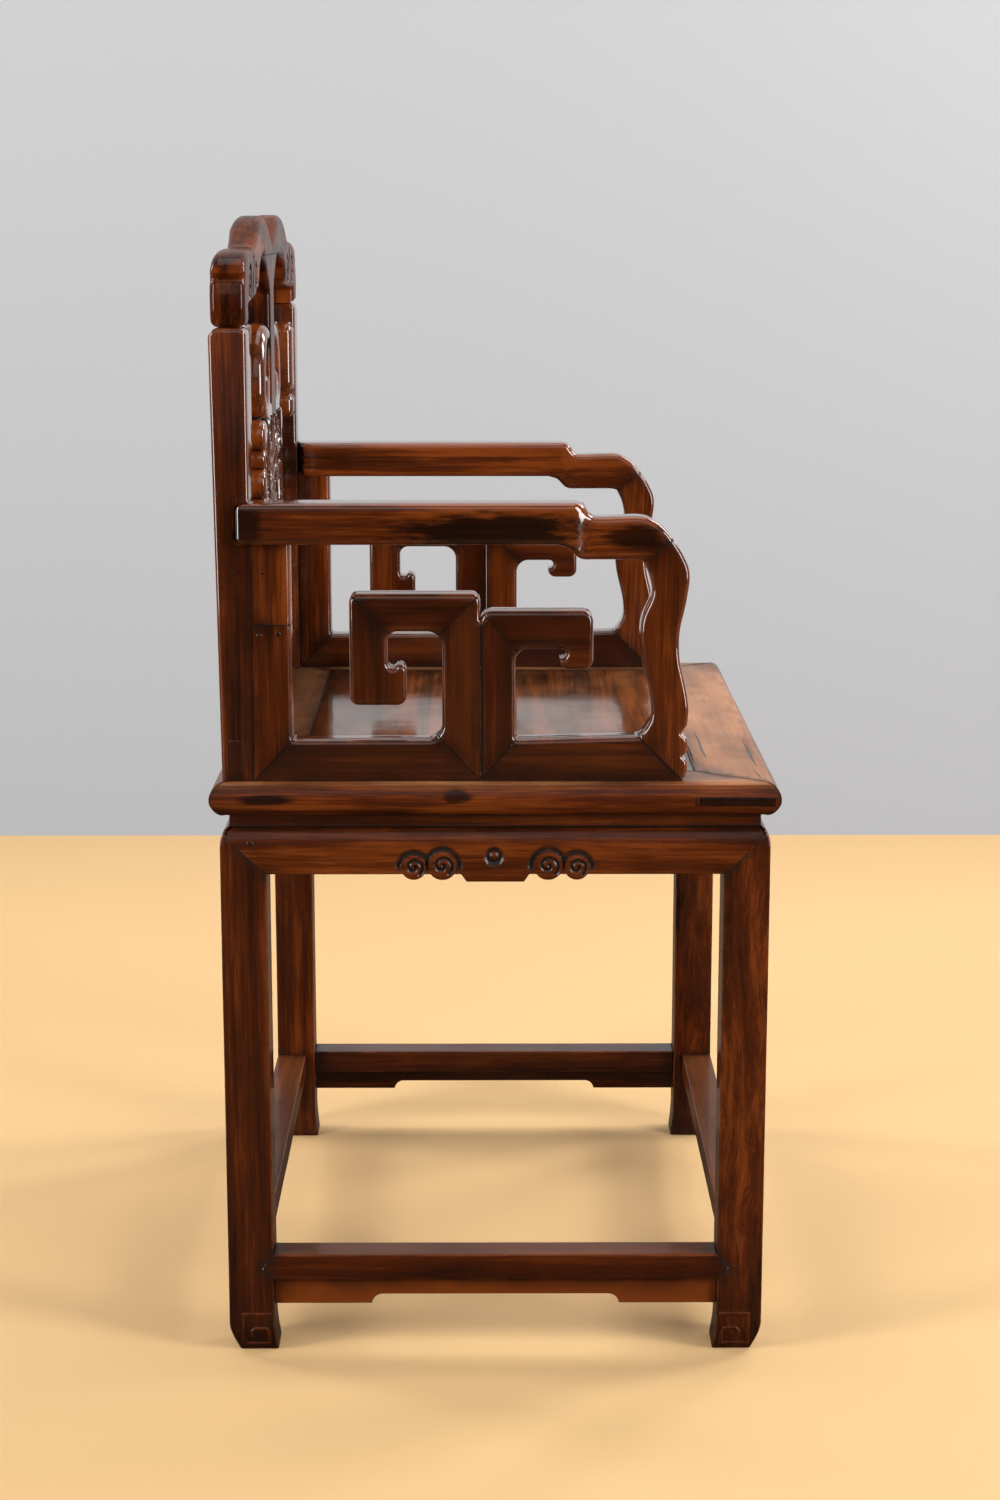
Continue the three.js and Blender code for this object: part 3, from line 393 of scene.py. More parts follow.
def waver(points, seed):
    """A smooth field of numbers from -1 to 1 that turns over every 60 to 200 mm"""
    total = np.zeros(len(points))
    random = np.random.default_rng(seed)
    for _ in range(5):
        way = random.normal(size=3)
        way *= random.uniform(30, 100) / np.linalg.norm(way)
        total += np.sin(points @ way + random.uniform(0, 2 * np.pi))
    return total / 5


def put_value(mesh, name, values):
    made = mesh.attributes.new(name, "FLOAT", "POINT")
    made.data.foreach_set("value", np.asarray(values, float))


def put_values(mesh, grain, wear, soil, shade):
    """Stores the grain coordinates, wear, soil and painted shade of each point of the mesh"""
    points = np.zeros(len(mesh.vertices) * 3)
    mesh.vertices.foreach_get("co", points)
    points = points.reshape(-1, 3)
    random = np.random.default_rng(crc(mesh.name))
    placed = points[:, AXES[grain]] + random.uniform(-3, 3, 3)
    made = mesh.attributes.new("grain", "FLOAT_VECTOR", "POINT")
    made.data.foreach_set("vector", placed.ravel())
    for name, values in (("wear", wear), ("soil", soil), ("shade", shade)):
        put_value(mesh, name, values)


def finished(mesh, node, finish):
    """A piece with its own mesh that rides on the frame and may stand for a CAD node"""
    mesh.materials.append(bpy.data.materials[finish])
    mesh.shade_smooth()
    made = bmesh.new()
    made.from_mesh(mesh)
    for edge in made.edges:
        edge.smooth = edge.calc_face_angle(0) < SMOOTH
    made.to_mesh(mesh)
    made.free()
    piece = bpy.data.objects.new(mesh.name, mesh)
    bpy.context.scene.collection.objects.link(piece)
    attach(piece, "root")
    if node:
        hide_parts(node)
    return piece


def split_sides(made, near):
    """Cuts up the long edges that are partly open and partly in a joint"""
    for edge in list(made.edges):
        length = edge.calc_length()
        if edge.calc_face_angle(0) < CRISP or length < 2 * SPLIT_STEP:
            continue
        corner, far = edge.verts
        start, way = corner.co.copy(), far.co - corner.co
        states = [touching(near, start + way * share) for share in (0.06, 0.3, 0.5, 0.7, 0.94)]
        if all(states) or not any(states):
            continue
        for left in range(int(length / SPLIT_STEP), 0, -1):
            _, corner = bmesh.utils.edge_split(edge, corner, 1 / (left + 1))
            edge = next(e for e in corner.link_edges if e.other_vert(corner) == far)


def dressed(node, arris, grain, finish, pitch=11 * MM):
    """A CAD node with its open edges rounded and its joints just broken"""
    shape = bpy.context.scene.armchair_shape
    made = cad_solid(node)
    near = neighbours(node)
    split_sides(made, near)
    rounded = made.faces.layers.int.new("rounded")
    for width, steps, joint in ((arris, 4, False), (shape.seam, 1, True)):
        edges = []
        for edge in made.edges:
            if edge.calc_face_angle(0) < CRISP or any(face[rounded] for face in edge.link_faces):
                continue
            middle = (edge.verts[0].co + edge.verts[1].co) / 2
            if touching(near, middle) == joint:
                edges.append(edge)
        if not edges:
            continue
        result = bmesh.ops.bevel(
            made, geom=edges, offset=width, offset_type="OFFSET", segments=steps, profile=0.5,
            affect="EDGES", clamp_overlap=False, loop_slide=True)
        for face in result["faces"]:
            face[rounded] = 2 if joint else 1
    bmesh.ops.remove_doubles(made, verts=made.verts, dist=1e-6)
    low, high = BOXES[node]
    for axis in range(3):
        ends = {low[axis] + 2.5 * MM + arris, high[axis] - 2.5 * MM - arris}
        for place in sorted(ends | {*np.arange(low[axis], high[axis], pitch).tolist()}):
            spot, way = Vector((0, 0, 0)), Vector((0, 0, 0))
            spot[axis], way[axis] = place, 1
            bmesh.ops.bisect_plane(made, geom=made.verts[:] + made.edges[:] + made.faces[:], dist=2e-5,
                                   plane_co=spot, plane_no=way)
    worn = [float(all(f[rounded] == 1 for f in v.link_faces)) for v in made.verts]
    soiled = [float(any(f[rounded] == 2 for f in v.link_faces)) * 0.6 for v in made.verts]
    mesh = bpy.data.meshes.new("worn_" + node)
    made.to_mesh(mesh)
    made.free()
    away = np.array([near.find_nearest(v.co, JOINT_SHADE_REACH)[3] for v in mesh.vertices], float)
    away = np.where(np.isnan(away), 1, away / JOINT_SHADE_REACH)
    points = np.array([v.co for v in mesh.vertices])
    normals = np.array([v.normal for v in mesh.vertices])
    hollow = (waver(points, crc(node)) + 1) * 0.5 * shape.wander * away
    mesh.vertices.foreach_set("co", (points - normals * hollow[:, None]).ravel())
    at_floor = np.clip((75 * MM - points[:, 2]) / (60 * MM), 0, 1)
    # The shade value is painted shade near the joints; the colour also turns darker towards the floor
    put_values(mesh, grain, worn, soiled, np.maximum(0.55 * (1 - away), 0.75 * at_floor))
    # top marks upward faces, which the finish lightens partly as painted light from above
    put_value(mesh, "top", np.clip((normals[:, 2] - 0.6) / 0.35, 0, 1))
    piece = finished(mesh, node, finish)
    piece.modifiers.new("flat faces", "WEIGHTED_NORMAL").keep_sharp = True
    return piece


def area(loop):
    """The area inside a loop, below 0 where it runs clockwise"""
    x, y = loop[:, 0], loop[:, 1]
    return (x * np.roll(y, -1) - np.roll(x, -1) * y).sum() / 2


def outline_of(node, axis, end="low", flat=True):
    """The outline loops of one end of a prism in its own plane, the longest first, and its two ends.

    Where the end isn't flat, all the faces that look that way count."""
    across, up, through = AXES[axis]
    made = cad_solid(node)
    places = [v.co[through] for v in made.verts]
    low, high = min(places), max(places)
    level = low if end == "low" else high
    facing = -1 if end == "low" else 1
    if flat:
        caps = [f for f in made.faces if abs(f.normal[through]) > 0.999
                and abs(f.calc_center_median()[through] - level) < 2e-5]
    else:
        caps = [f for f in made.faces if f.normal[through] * facing > 0.6]
    follow = {}
    for face in caps:
        for loop in face.loops:
            if any(other not in caps for other in loop.edge.link_faces):
                follow[loop.vert.index] = (loop.link_loop_next.vert.index, loop.vert.co.copy())
    loops = []
    while follow:
        loop, current = [], next(iter(follow))
        while current in follow:
            following, place = follow.pop(current)
            loop.append((place[across], place[up]))
            current = following
        loops.append(np.array(loop))
    made.free()
    loops = [loop if area(loop) > 0 else loop[::-1] for loop in loops]
    loops.sort(key=area, reverse=True)
    return [loops[0], *(loop[::-1] for loop in loops[1:])], low, high


def smoothed(loop):
    """The loop with two more points on each flat of an arc"""
    points = []
    count = len(loop)
    edges = np.roll(loop, -1, 0) - loop
    lengths = np.linalg.norm(edges, axis=1)
    ways = edges / lengths[:, None]
    cosines = (ways * np.roll(ways, 1, 0)).sum(1)
    soft = cosines > ARC_COSINE

    def tangent(after):
        before = (after - 1) % count
        if not soft[after]:
            return None
        if lengths[before] > ARC_RATIO * lengths[after]:
            return ways[before]
        if lengths[after] > ARC_RATIO * lengths[before]:
            return ways[after]
        way = ways[before] * lengths[after] + ways[after] * lengths[before]
        return way / np.linalg.norm(way)

    for i in range(count):
        j = (i + 1) % count
        start, end = loop[i], loop[j]
        points.append(start)
        neighbour = min(lengths[i - 1], lengths[j])
        if lengths[i] > ARC_RATIO * neighbour or not (soft[i] or soft[j]):
            continue
        chord = ways[i]
        first, last = tangent(i), tangent(j)
        if first is None:
            first = 2 * chord * (chord @ last) - last
        if last is None:
            last = 2 * chord * (chord @ first) - first
        if np.allclose(first, chord, atol=1e-3) and np.allclose(last, chord, atol=1e-3):
            continue
        for t in (1 / 3, 2 / 3):
            a, b = 2 * t ** 3 - 3 * t ** 2 + 1, t ** 3 - 2 * t ** 2 + t
            c, d = -2 * t ** 3 + 3 * t ** 2, t ** 3 - t ** 2
            points.append(a * start + b * lengths[i] * first + c * end + d * lengths[i] * last)
    return np.array(points)


def rounded_off(loop, spot, radius):
    """The loop with its corner at a spot turned into an arc"""
    away = np.linalg.norm(loop - spot, axis=1)
    i = int(away.argmin())
    if away[i] > 2 * MM:
        return loop
    corner, before, after = loop[i], loop[i - 1], loop[(i + 1) % len(loop)]
    back, on = before - corner, after - corner
    back, on = back / np.linalg.norm(back), on / np.linalg.norm(on)
    half = math.acos(float(np.clip(back @ on, -1, 1))) / 2
    reach = radius / math.tan(half)
    centre = corner + (back + on) / np.linalg.norm(back + on) * radius / math.sin(half)
    first, last = corner + back * reach - centre, corner + on * reach - centre
    turn = math.atan2(first[0] * last[1] - first[1] * last[0], first @ last)
    arc = []
    for angle in np.linspace(0, turn, 9):
        arc.append(centre + (first[0] * math.cos(angle) - first[1] * math.sin(angle),
                             first[0] * math.sin(angle) + first[1] * math.cos(angle)))
    return np.array([*loop[:i], *arc, *loop[i + 1:]])


def resampled(loop, step):
    """The loop with no side longer than a step"""
    points = []
    for start, end in zip(loop, np.roll(loop, -1, 0)):
        count = max(1, math.ceil(np.linalg.norm(end - start) / step))
        points += [start + (end - start) * k / count for k in range(count)]
    return np.array(points)


def beside(points, start, end):
    """Where each point lies along a segment, from 0 to 1, and how far from it"""
    way = end - start
    share = np.clip(((points - start) @ way) / max(way @ way, 1e-18), 0, 1)
    return share, np.linalg.norm(points - start - share[:, None] * way, axis=1)


def distances(points, starts, ends):
    """Distance from each point to the nearest of the segments, or a metre where there are none"""
    if not len(starts):
        return np.full(len(points), 1.0)
    best = np.full(len(points), np.inf)
    for start, end in zip(starts, ends):
        best = np.minimum(best, beside(points, start, end)[1])
    return best


def left_of(ways):
    """Unit vectors a quarter turn to the left of these"""
    return np.stack([-ways[:, 1], ways[:, 0]], 1) / np.linalg.norm(ways, axis=1)[:, None]


def inside(points, loops):
    """Which points lie inside the first loop and outside the others"""
    crossed = np.zeros(len(points), bool)
    for loop in loops:
        for (x0, y0), (x1, y1) in zip(loop, np.roll(loop, -1, 0)):
            if y0 == y1:
                continue
            span = (points[:, 1] >= min(y0, y1)) & (points[:, 1] < max(y0, y1))
            x = x0 + (points[:, 1] - y0) * (x1 - x0) / (y1 - y0)
            crossed ^= span & (points[:, 0] < x)
    return crossed


def fall(distance, arris):
    """How far a rounded edge has dropped at a distance from it"""
    if arris <= 0:
        return np.zeros(len(distance))
    inner = np.clip(arris - distance, 0, arris)
    return arris - np.sqrt(np.maximum(arris ** 2 - inner ** 2, 0))


def spread(first, last, pitch):
    """Points of a triangular grid between two corners"""
    columns = np.arange(first[0] + pitch / 2, last[0], pitch)
    rows = np.arange(first[1] + pitch / 2, last[1], pitch * 0.87)
    x, y = np.meshgrid(columns, rows)
    x[1::2] += pitch / 2
    return np.stack([x.ravel(), y.ravel()], 1)


def beyond(points, first, last):
    """Which points lie outside the box between two corners"""
    return (points < first).any(1) | (points > last).any(1)


def shrunk(loop, distance):
    """The loop's corners moved into its face by a distance"""
    normal = left_of(np.roll(loop, -1, 0) - loop)
    corner = normal + np.roll(normal, 1, 0)
    corner /= np.maximum(np.linalg.norm(corner, axis=1)[:, None], 1e-9)
    corner /= np.maximum((corner * normal).sum(1)[:, None], 0.5)
    return loop + corner * distance


def face_points(loops, starts, ends, rings, arris, step, fine):
    """The points of a face: its outline, rings beside it, and a grid that is closer in the fine boxes.

    rings holds (distance from the outline, the sides that have a ring there)."""
    edged, offset = [], 0
    for loop in loops:
        for distance, sides in rings:
            chosen = sides[offset:offset + len(loop)]
            spots = shrunk(loop, distance)[chosen | np.roll(chosen, 1)]
            edged.append(spots[distances(spots, starts, ends) > 0.9 * distance])
        offset += len(loop)
    body = spread(starts.min(0), starts.max(0), step)
    body = body[inside(body, loops)]
    for first, last, _ in fine:
        body = body[beyond(body, first, last)]
    body = body[distances(body, starts, ends) > max(arris * 1.2, step * 0.5)]
    for first, last, pitch in fine:
        dense = spread(first, last, pitch)
        dense = dense[inside(dense, loops)]
        dense = dense[distances(dense, starts, ends) > pitch * 0.6]
        edged = [spots[beyond(spots, first, last) | (distances(spots, starts, ends) < pitch * 0.6)]
                 for spots in edged]
        body = np.concatenate([body, dense])
    return np.concatenate([starts, *edged, body])


def triangulated(points, loops):
    """The flat mesh of a face: its points, its triangles and the sides of its outline"""
    following, start = [], 0
    for loop in loops:
        following += [start + (i + 1) % len(loop) for i in range(len(loop))]
        start += len(loop)
    flat, _, faces, originals, _, _ = geometry.delaunay_2d_cdt(
        [Vector(p) for p in points], list(enumerate(following)), [], 0, 1e-6, True)
    flat = np.array([tuple(p) for p in flat])
    faces = np.array([tuple(face) for face in faces])
    faces = faces[inside(flat[faces].mean(1), loops)]
    turned = np.cross(flat[faces[:, 1]] - flat[faces[:, 0]], flat[faces[:, 2]] - flat[faces[:, 0]])
    whole = np.abs(turned) > 1e-12
    faces, turned = faces[whole], turned[whole]
    faces[turned < 0] = faces[turned < 0][:, ::-1]
    index_of = {old: new for new, olds in enumerate(originals) for old in olds}
    sides = [(index_of[i], index_of[j]) for i, j in enumerate(following)]
    return flat, faces.tolist(), [(a, b) for a, b in sides if a != b]


def plate(node, axis, arris, grain, finish, carve=None, rear=None, step=7 * MM, fine=(),
          front_low=True, shift=None, outline=None, loose=None, round_off=()):
    """A prism rebuilt with rounded edges, a slightly uneven face and, where it has one, its carving.

    carve takes the face's points and gives (depth below the face, how much darker the colour turns there);
    rear does so for the other face. fine holds (low corner, high corner, step) boxes where the points lie
    closer. Joints inside the loose box are rounded as open edges are. round_off holds (spot, radius) of
    corners to round."""
    shape = bpy.context.scene.armchair_shape
    across, up, through = AXES[axis]
    loops, low, high = outline or outline_of(node, axis)
    near = neighbours(node)
    for spot, radius in round_off:
        loops = [rounded_off(loop, np.array(spot), radius) for loop in loops]
    loops = [resampled(smoothed(loop), OUTLINE_STEP) for loop in loops]
    starts = np.concatenate(loops)
    ends = np.concatenate([np.roll(loop, -1, 0) for loop in loops])
    middles = (starts + ends) / 2
    joint = np.array([touching(near, point_on(axis, spot, (low + high) / 2)) for spot in middles])
    if loose:
        joint &= beyond(middles, *loose)
    free = ~joint
    shares = (0.07, 0.22, 0.45, 0.72, 1.0, *((0.85, 0.58) if arris > 4 * MM else ()))
    rings = [(share * arris, free) for share in shares]
    rings += [(share * shape.seam, joint) for share in (0.5, 1.0, 2.0)]
    flat, faces, sides = triangulated(face_points(loops, starts, ends, rings, arris, step, fine), loops)
    to_free = distances(flat, starts[free], ends[free])
    to_joint = distances(flat, starts[joint], ends[joint])

    def face_depth(cutting, seed):
        depth = np.maximum(fall(to_free, arris), fall(to_joint, shape.seam))
        soil = 0.7 * np.clip(1 - to_joint / (1.8 * shape.seam), 0, 1)
        spots = np.column_stack([flat, np.full(len(flat), float(seed))])
        hollow = (waver(spots, crc(node) + seed) + 1) * 0.5 * shape.wander
        depth = depth + hollow * np.clip(to_joint / (6 * MM), 0, 1)
        if cutting:
            cut, cut_darkening = cutting(flat)
            depth, soil = depth + cut, np.maximum(soil, cut_darkening)
        return depth, soil

    cut_low, cut_high = (carve, rear) if front_low else (rear, carve)
    (depth_low, soil_low), (depth_high, soil_high) = face_depth(cut_low, 1), face_depth(cut_high, 2)
    count = len(flat)
    placed = np.zeros((2 * count, 3))
    for rows, level in ((slice(count), low + depth_low), (slice(count, None), high - depth_high)):
        placed[rows, across], placed[rows, up], placed[rows, through] = flat[:, 0], flat[:, 1], level
    if shift:
        placed = shift(placed)
    polygons = [face[::-1] for face in faces] + [[i + count for i in face] for face in faces]
    polygons += [[a, b, b + count, a + count] for a, b in sides]
    if axis == "Y":
        polygons = [polygon[::-1] for polygon in polygons]
    mesh = bpy.data.meshes.new("worn_" + node)
    mesh.from_pydata(placed.tolist(), [], polygons)
    mesh.validate()
    worn = np.clip(1 - to_free / (0.9 * max(arris, 1e-6)), 0, 1)
    # Painted shade that darkens the colour near the joints
    joint_shade = 0.8 * np.exp(-to_joint / (8 * MM))
    put_values(mesh, grain, np.tile(worn, 2), np.concatenate([soil_low, soil_high]), np.tile(joint_shade, 2))
    return finished(mesh, node, finish)


def spiral(centre, outer, inner, start, turns, steps=48):
    """A line that winds in from the outer to the inner radius, counterclockwise where turns is above 0"""
    share = np.linspace(0, 1, steps)
    angle = start + share * turns * 2 * np.pi
    radius = outer + (inner - outer) * share
    return np.stack([centre[0] + radius * np.cos(angle), centre[1] + radius * np.sin(angle)], 1)


def groove(points, line, width, depth):
    """Depth of a round groove of a half width along a line"""
    away = distances(points, line[:-1], line[1:])
    return depth * np.clip(1 - (away / width) ** 2, 0, 1) ** 0.8


# Carving

def volute(points, centre, radius, start, turns, width, depth):
    """A spiral groove that leaves a raised, rolled band around an eye"""
    return groove(points, spiral(centre, radius, 0.16 * radius, start, turns), width, depth)


def pit(points, centre, radius, depth, boss):
    """A round sunk ring with a boss in its middle"""
    away = np.linalg.norm(points - centre, axis=1)
    sunk = depth * np.clip((radius - away) / (0.35 * radius), 0, 1) ** 0.7
    return sunk * (1 - np.sqrt(np.clip(1 - (away / boss) ** 2, 0, 1)))


# Darkens a cut in step with its depth
def darker_with_depth(cut, depth):
    return np.clip(cut / depth, 0, 1) ** 0.8


def stroke(points, line, start_width, end_width, height):
    """Height of a carved leaf or stem that follows a line and narrows along it"""
    line = np.asarray(line, float)
    lengths = np.linalg.norm(np.diff(line, axis=0), axis=1)
    along = np.concatenate([[0], np.cumsum(lengths)]) / lengths.sum()
    best = np.zeros(len(points))
    for start, end, first, last in zip(line[:-1], line[1:], along[:-1], along[1:]):
        share, away = beside(points, start, end)
        width = start_width + (end_width - start_width) * (first + (last - first) * share)
        best = np.maximum(best, height * np.sqrt(np.clip(1 - (away / width) ** 2, 0, 1)))
    return best


def curve_through(corners, steps=8):
    """A smooth line through a few places"""
    corners = np.asarray(corners, float)
    padded = np.concatenate([[2 * corners[0] - corners[1]], corners, [2 * corners[-1] - corners[-2]]])
    points = []
    for a, b, c, d in zip(padded[:-3], padded[1:-2], padded[2:-1], padded[3:]):
        for k in range(steps):
            t = k / steps
            points.append(0.5 * (2 * b + (c - a) * t + (2 * a - 5 * b + 4 * c - d) * t ** 2
                                 + (3 * b - a - 3 * c + d) * t ** 3))
    return np.array([*points, corners[-1]])


def scrolled_apron(side):
    """Spirals, a boss and the curved shoulder of an apron"""
    node = "apron_" + side
    axis = "Y" if SIDES[side] == "X" else "X"
    across, up, through = AXES[axis]
    low, high = BOXES[node]
    middle = (low[across] + high[across]) / 2
    outer_low = side in ("front", "right")
    hand = 1 if side in ("front", "left") else -1
    foot = BOXES["waist_" + side][0][up] - APRON_RISE - 0.3 * MM
    depth = bpy.context.scene.armchair_shape.scroll_depth

    def carve(points):
        placed = points - (middle, foot)
        seen = placed * (hand, 1)
        folded = np.abs(placed * (1, 0)) + placed * (0, 1)
        cut, raised = np.zeros(len(points)), np.zeros(len(points))
        rims = [np.linalg.norm(folded - (offset, lift), axis=1) - radius
                for offset, lift, radius in APRON_SCROLLS]
        around = np.min(rims, axis=0) > -0.3 * MM
        above = np.clip((placed[:, 1] - 1 * MM) / (6 * MM), 0, 1)
        for (offset, lift, radius), rim in zip(APRON_SCROLLS, rims):
            for centre in (offset, -offset):
                scroll = volute(seen, (centre, lift), radius * 0.74, math.radians(-50), 1.2, 1.9 * MM, depth)
                cut = np.maximum(cut, scroll)
            raised = np.maximum(raised, np.sqrt(np.clip(-rim / (2.6 * MM), 0, 1)) * above)
            halo = depth * np.clip(1 - (np.abs(rim - 1.6 * MM) / (3.6 * MM)) ** 2, 0, 1)
            cut = np.maximum(cut, halo * around * above)
        cut = np.maximum(cut, pit(placed, (1 * MM, 15.4 * MM), 8.6 * MM, 2.4 * MM, 3.9 * MM))
        share = np.clip((placed[:, 1] - APRON_RISE + SHOULDER_RISE) / SHOULDER_RISE, 0, 1)
        shoulder = SHOULDER_INSET * (1 - np.sqrt(1 - share ** 2))
        return cut - 1.1 * MM * raised + shoulder, darker_with_depth(cut, depth)

    reach = (high[across] - low[across]) / 2
    loops, nearest, farthest = outline_of(node, axis, "high" if outer_low else "low")
    inner = np.abs(loops[0][:, 0] - middle).max()
    ends = np.abs(loops[0][:, 0] - middle) > inner - 0.5 * MM
    loops[0][ends, 0] = middle + np.sign(loops[0][ends, 0] - middle) * reach

    def mitred(placed):
        limit = reach - np.abs(placed[:, through] - (low if outer_low else high)[through])
        placed[:, across] = middle + np.clip(placed[:, across] - middle, -limit, limit)
        return placed

    fine = [((middle - 84 * MM, foot - 8 * MM), (middle + 84 * MM, foot + 24 * MM), 1.0 * MM)]
    return plate(node, axis, 1.5 * MM, SIDES[side], "apron_hardwood", carve=carve, fine=fine,
                 front_low=outer_low, shift=mitred, outline=(loops[:1], nearest, farthest))


def swept_rail(side):
    """An arm's rail, whose outer and inner faces both draw in at the neck"""
    node = side + "_arm_rail"
    loops, low_face, high_face = outline_of(node, "X", "low" if side == "right" else "high", flat=False)
    low, high = BOXES[node]
    loop = loops[0]
    loop[loop[:, 0] > loop[:, 0].max() - 0.5 * MM, 0] = high.y
    made = cad_solid(node)
    solid = BVHTree.FromBMesh(made)
    made.free()
    rows = np.arange(low.y, high.y, MM)

    def drawn_in(face, way):
        depth = np.full(len(rows), np.nan)
        for i, y in enumerate(rows):
            hits = [solid.ray_cast(Vector((face - way * 0.05, y, z)), Vector((way, 0, 0)))[0]
                    for z in np.linspace(low.z, high.z, 15)]
            hits = [abs(hit.x - face) for hit in hits if hit]
            if hits:
                depth[i] = np.median(hits)
        known = ~np.isnan(depth)
        depth = np.interp(rows, rows[known], depth[known])
        window = np.hanning(17)
        depth = np.pad(depth, len(window) // 2, mode="edge")
        depth = np.convolve(depth, window / window.sum(), "valid")
        depth += fall(high.y - rows, 10 * MM) * (0.5 if face * way < 0 else 0.1)
        return lambda points: (np.interp(points[:, 0], rows, depth), np.zeros(len(points)))

    outer, inner = drawn_in(low_face, 1), drawn_in(high_face, -1)
    if side == "left":
        outer, inner = inner, outer
    end = loop[loop[:, 0] > high.y - 0.5 * MM, 1]
    return plate(node, "X", 5.2 * MM, "Y", "arm_rail_hardwood", carve=outer, rear=inner, step=5 * MM,
                 front_low=side == "right", outline=([loop], low_face, high_face),
                 round_off=[((high.y, end.min()), 5 * MM), ((high.y, end.max()), 5 * MM)])


# Small pieces let into the others

def inlay(name, carrier, face, finish, corners, proud=0.2 * MM, crown=0.6 * MM, pitch=2.5 * MM):
    """A thin closed piece let into a face of its carrier, such as -X, with its corners in that plane"""
    axis, sign = face[1], 1 if face[0] == "-" else -1
    through = AXES[axis][2]
    holder = bpy.data.objects["worn_" + carrier].data
    solid = BVHTree.FromPolygons(
        [v.co.copy() for v in holder.vertices], [tuple(p.vertices) for p in holder.polygons])
    loop = resampled(np.array(corners, float), pitch)
    following = np.roll(loop, -1, 0)
    columns, rows = (np.arange(low, high, pitch * 0.8) for low, high in zip(loop.min(0), loop.max(0)))
    body = np.stack([grid.ravel() for grid in np.meshgrid(columns, rows)], 1)
    body = body[inside(body, [loop])]
    body = body[distances(body, loop, following) > 0.3 * min(pitch, crown)]
    turn = 1 if area(loop) > 0 else -1
    ring = loop + turn * left_of(following - np.roll(loop, 1, 0)) * crown * 0.5
    ring = ring[distances(ring, loop, following) > 0.3 * crown]
    sides = [(i, (i + 1) % len(loop)) for i in range(len(loop))]
    flat, _, faces, _, _, _ = geometry.delaunay_2d_cdt(
        [Vector(p) for p in (*loop, *ring, *body)], sides, [], 1, 1e-7, True)
    count = len(flat)
    rim = distances(np.array([tuple(p) for p in flat]), loop, following)
    lift = proud * np.sqrt(1 - (1 - np.clip(rim / crown, 0, 1)) ** 2) - 0.03 * MM * (rim < 1e-6)
    start = BOXES[carrier][0 if sign > 0 else 1][through] - sign * 0.03
    placed = np.zeros((2 * count, 3))
    for i, spot in enumerate(flat):
        hit = solid.ray_cast(point_on(axis, spot, start), point_on(axis, (0, 0), sign))[0]
        if hit is None:
            raise ValueError("%s hangs over the edge of its carrier at %.4f, %.4f" % (name, *spot))
        placed[i] = placed[i + count] = hit
        placed[i, through] -= sign * lift[i]
        placed[i + count, through] += sign * 0.5 * MM
    made = bmesh.new()
    points = [made.verts.new(p) for p in placed]
    for corners in faces:
        made.faces.new([points[i] for i in corners])
        made.faces.new([points[i + count] for i in reversed(corners)])
    index = {point: i for i, point in enumerate(points)}
    for edge in [e for e in made.edges if len(e.link_faces) == 1]:
        i, j = (index[v] for v in edge.verts)
        if i < count:
            made.faces.new([points[i], points[j], points[j + count], points[i + count]])
    bmesh.ops.recalc_face_normals(made, faces=made.faces)
    mesh = bpy.data.meshes.new(name)
    made.to_mesh(mesh)
    made.free()
    none = np.zeros(len(mesh.vertices))
    put_values(mesh, "X" if axis == "Z" else "Z", none, none, none)
    return finished(mesh, None, finish)


def disc(centre, radius):
    """The corners of a round plug"""
    angles = np.arange(16) * math.pi / 8
    return np.stack([np.cos(angles), np.sin(angles)], 1) * radius + centre


def ribbon(line, width):
    """The corners of a band that follows a line"""
    line = np.array(line, float)
    normal = left_of(np.diff(line, axis=0))
    corner = np.concatenate([normal[:1], normal[:-1] + normal[1:], normal[-1:]])
    corner /= np.linalg.norm(corner, axis=1)[:, None]
    stretch = np.concatenate([[1], 1 / np.maximum((corner[1:-1] * normal[1:]).sum(1), 0.5), [1]])
    offset = corner * (width / 2 * stretch)[:, None]
    return [*(line + offset), *(line - offset)[::-1]]


def split(line, width):
    """The corners of a crack that is widest in its middle"""
    line = np.array(line, float)
    way = line[-1] - line[0]
    normal = np.array([-way[1], way[0]]) / np.linalg.norm(way)
    swell = np.sin(np.linspace(0.12, 0.9, len(line)) * np.pi)[:, None] * width / 2
    return [*(line + normal * swell), *(line - normal * swell)[::-1]]


APRON_RISE, SHOULDER_RISE, SHOULDER_INSET = 39 * MM, 16 * MM, 8 * MM
APRON_SCROLLS = [(44.2 * MM, 7.3 * MM, 12.3 * MM), (68.2 * MM, 6 * MM, 10.8 * MM)]  # offset, lift, radius
HEAD_VOLUTE, SHOULDER_VOLUTE = (0.178, 0.917), (0.236, 0.915)  # across from the middle, and up
CREST_GROOVE = [(0.215, 0.889), (0.212, 0.905), (0.206, 0.92), (0.196, 0.934)]
CREST_JOINT, HEAD_FOOT, HEAD_RISE = 0.185, 0.922, 44 * MM


def crest_carving(points):
    """Volutes on the front of the crest"""
    folded = np.stack([np.abs(points[:, 0]), points[:, 1]], 1)
    depth = 3 * MM
    head = volute(folded, HEAD_VOLUTE, 15 * MM, math.radians(200), 1.6, 2.2 * MM, depth)
    shoulder = volute(folded, SHOULDER_VOLUTE, 17 * MM, math.radians(-20), -1.6, 2.4 * MM, depth)
    cut = np.maximum(head, shoulder)
    cut = np.maximum(cut, groove(folded, curve_through(CREST_GROOVE), 2 * MM, 2.4 * MM))
    return cut, darker_with_depth(cut, depth)


def crest_rear(points):
    """The rear face leans forward over the head's lobes and dips beside its joints"""
    away = np.abs(np.abs(points[:, 0]) - CREST_JOINT) / (80 * MM)
    hollow = 4.5 * MM * np.clip(1 - away ** 2, 0, 1)
    lean = 5 * MM * np.clip((points[:, 1] - HEAD_FOOT) / HEAD_RISE, 0, 1) ** 1.4
    return np.maximum(hollow, lean), np.zeros(len(points))


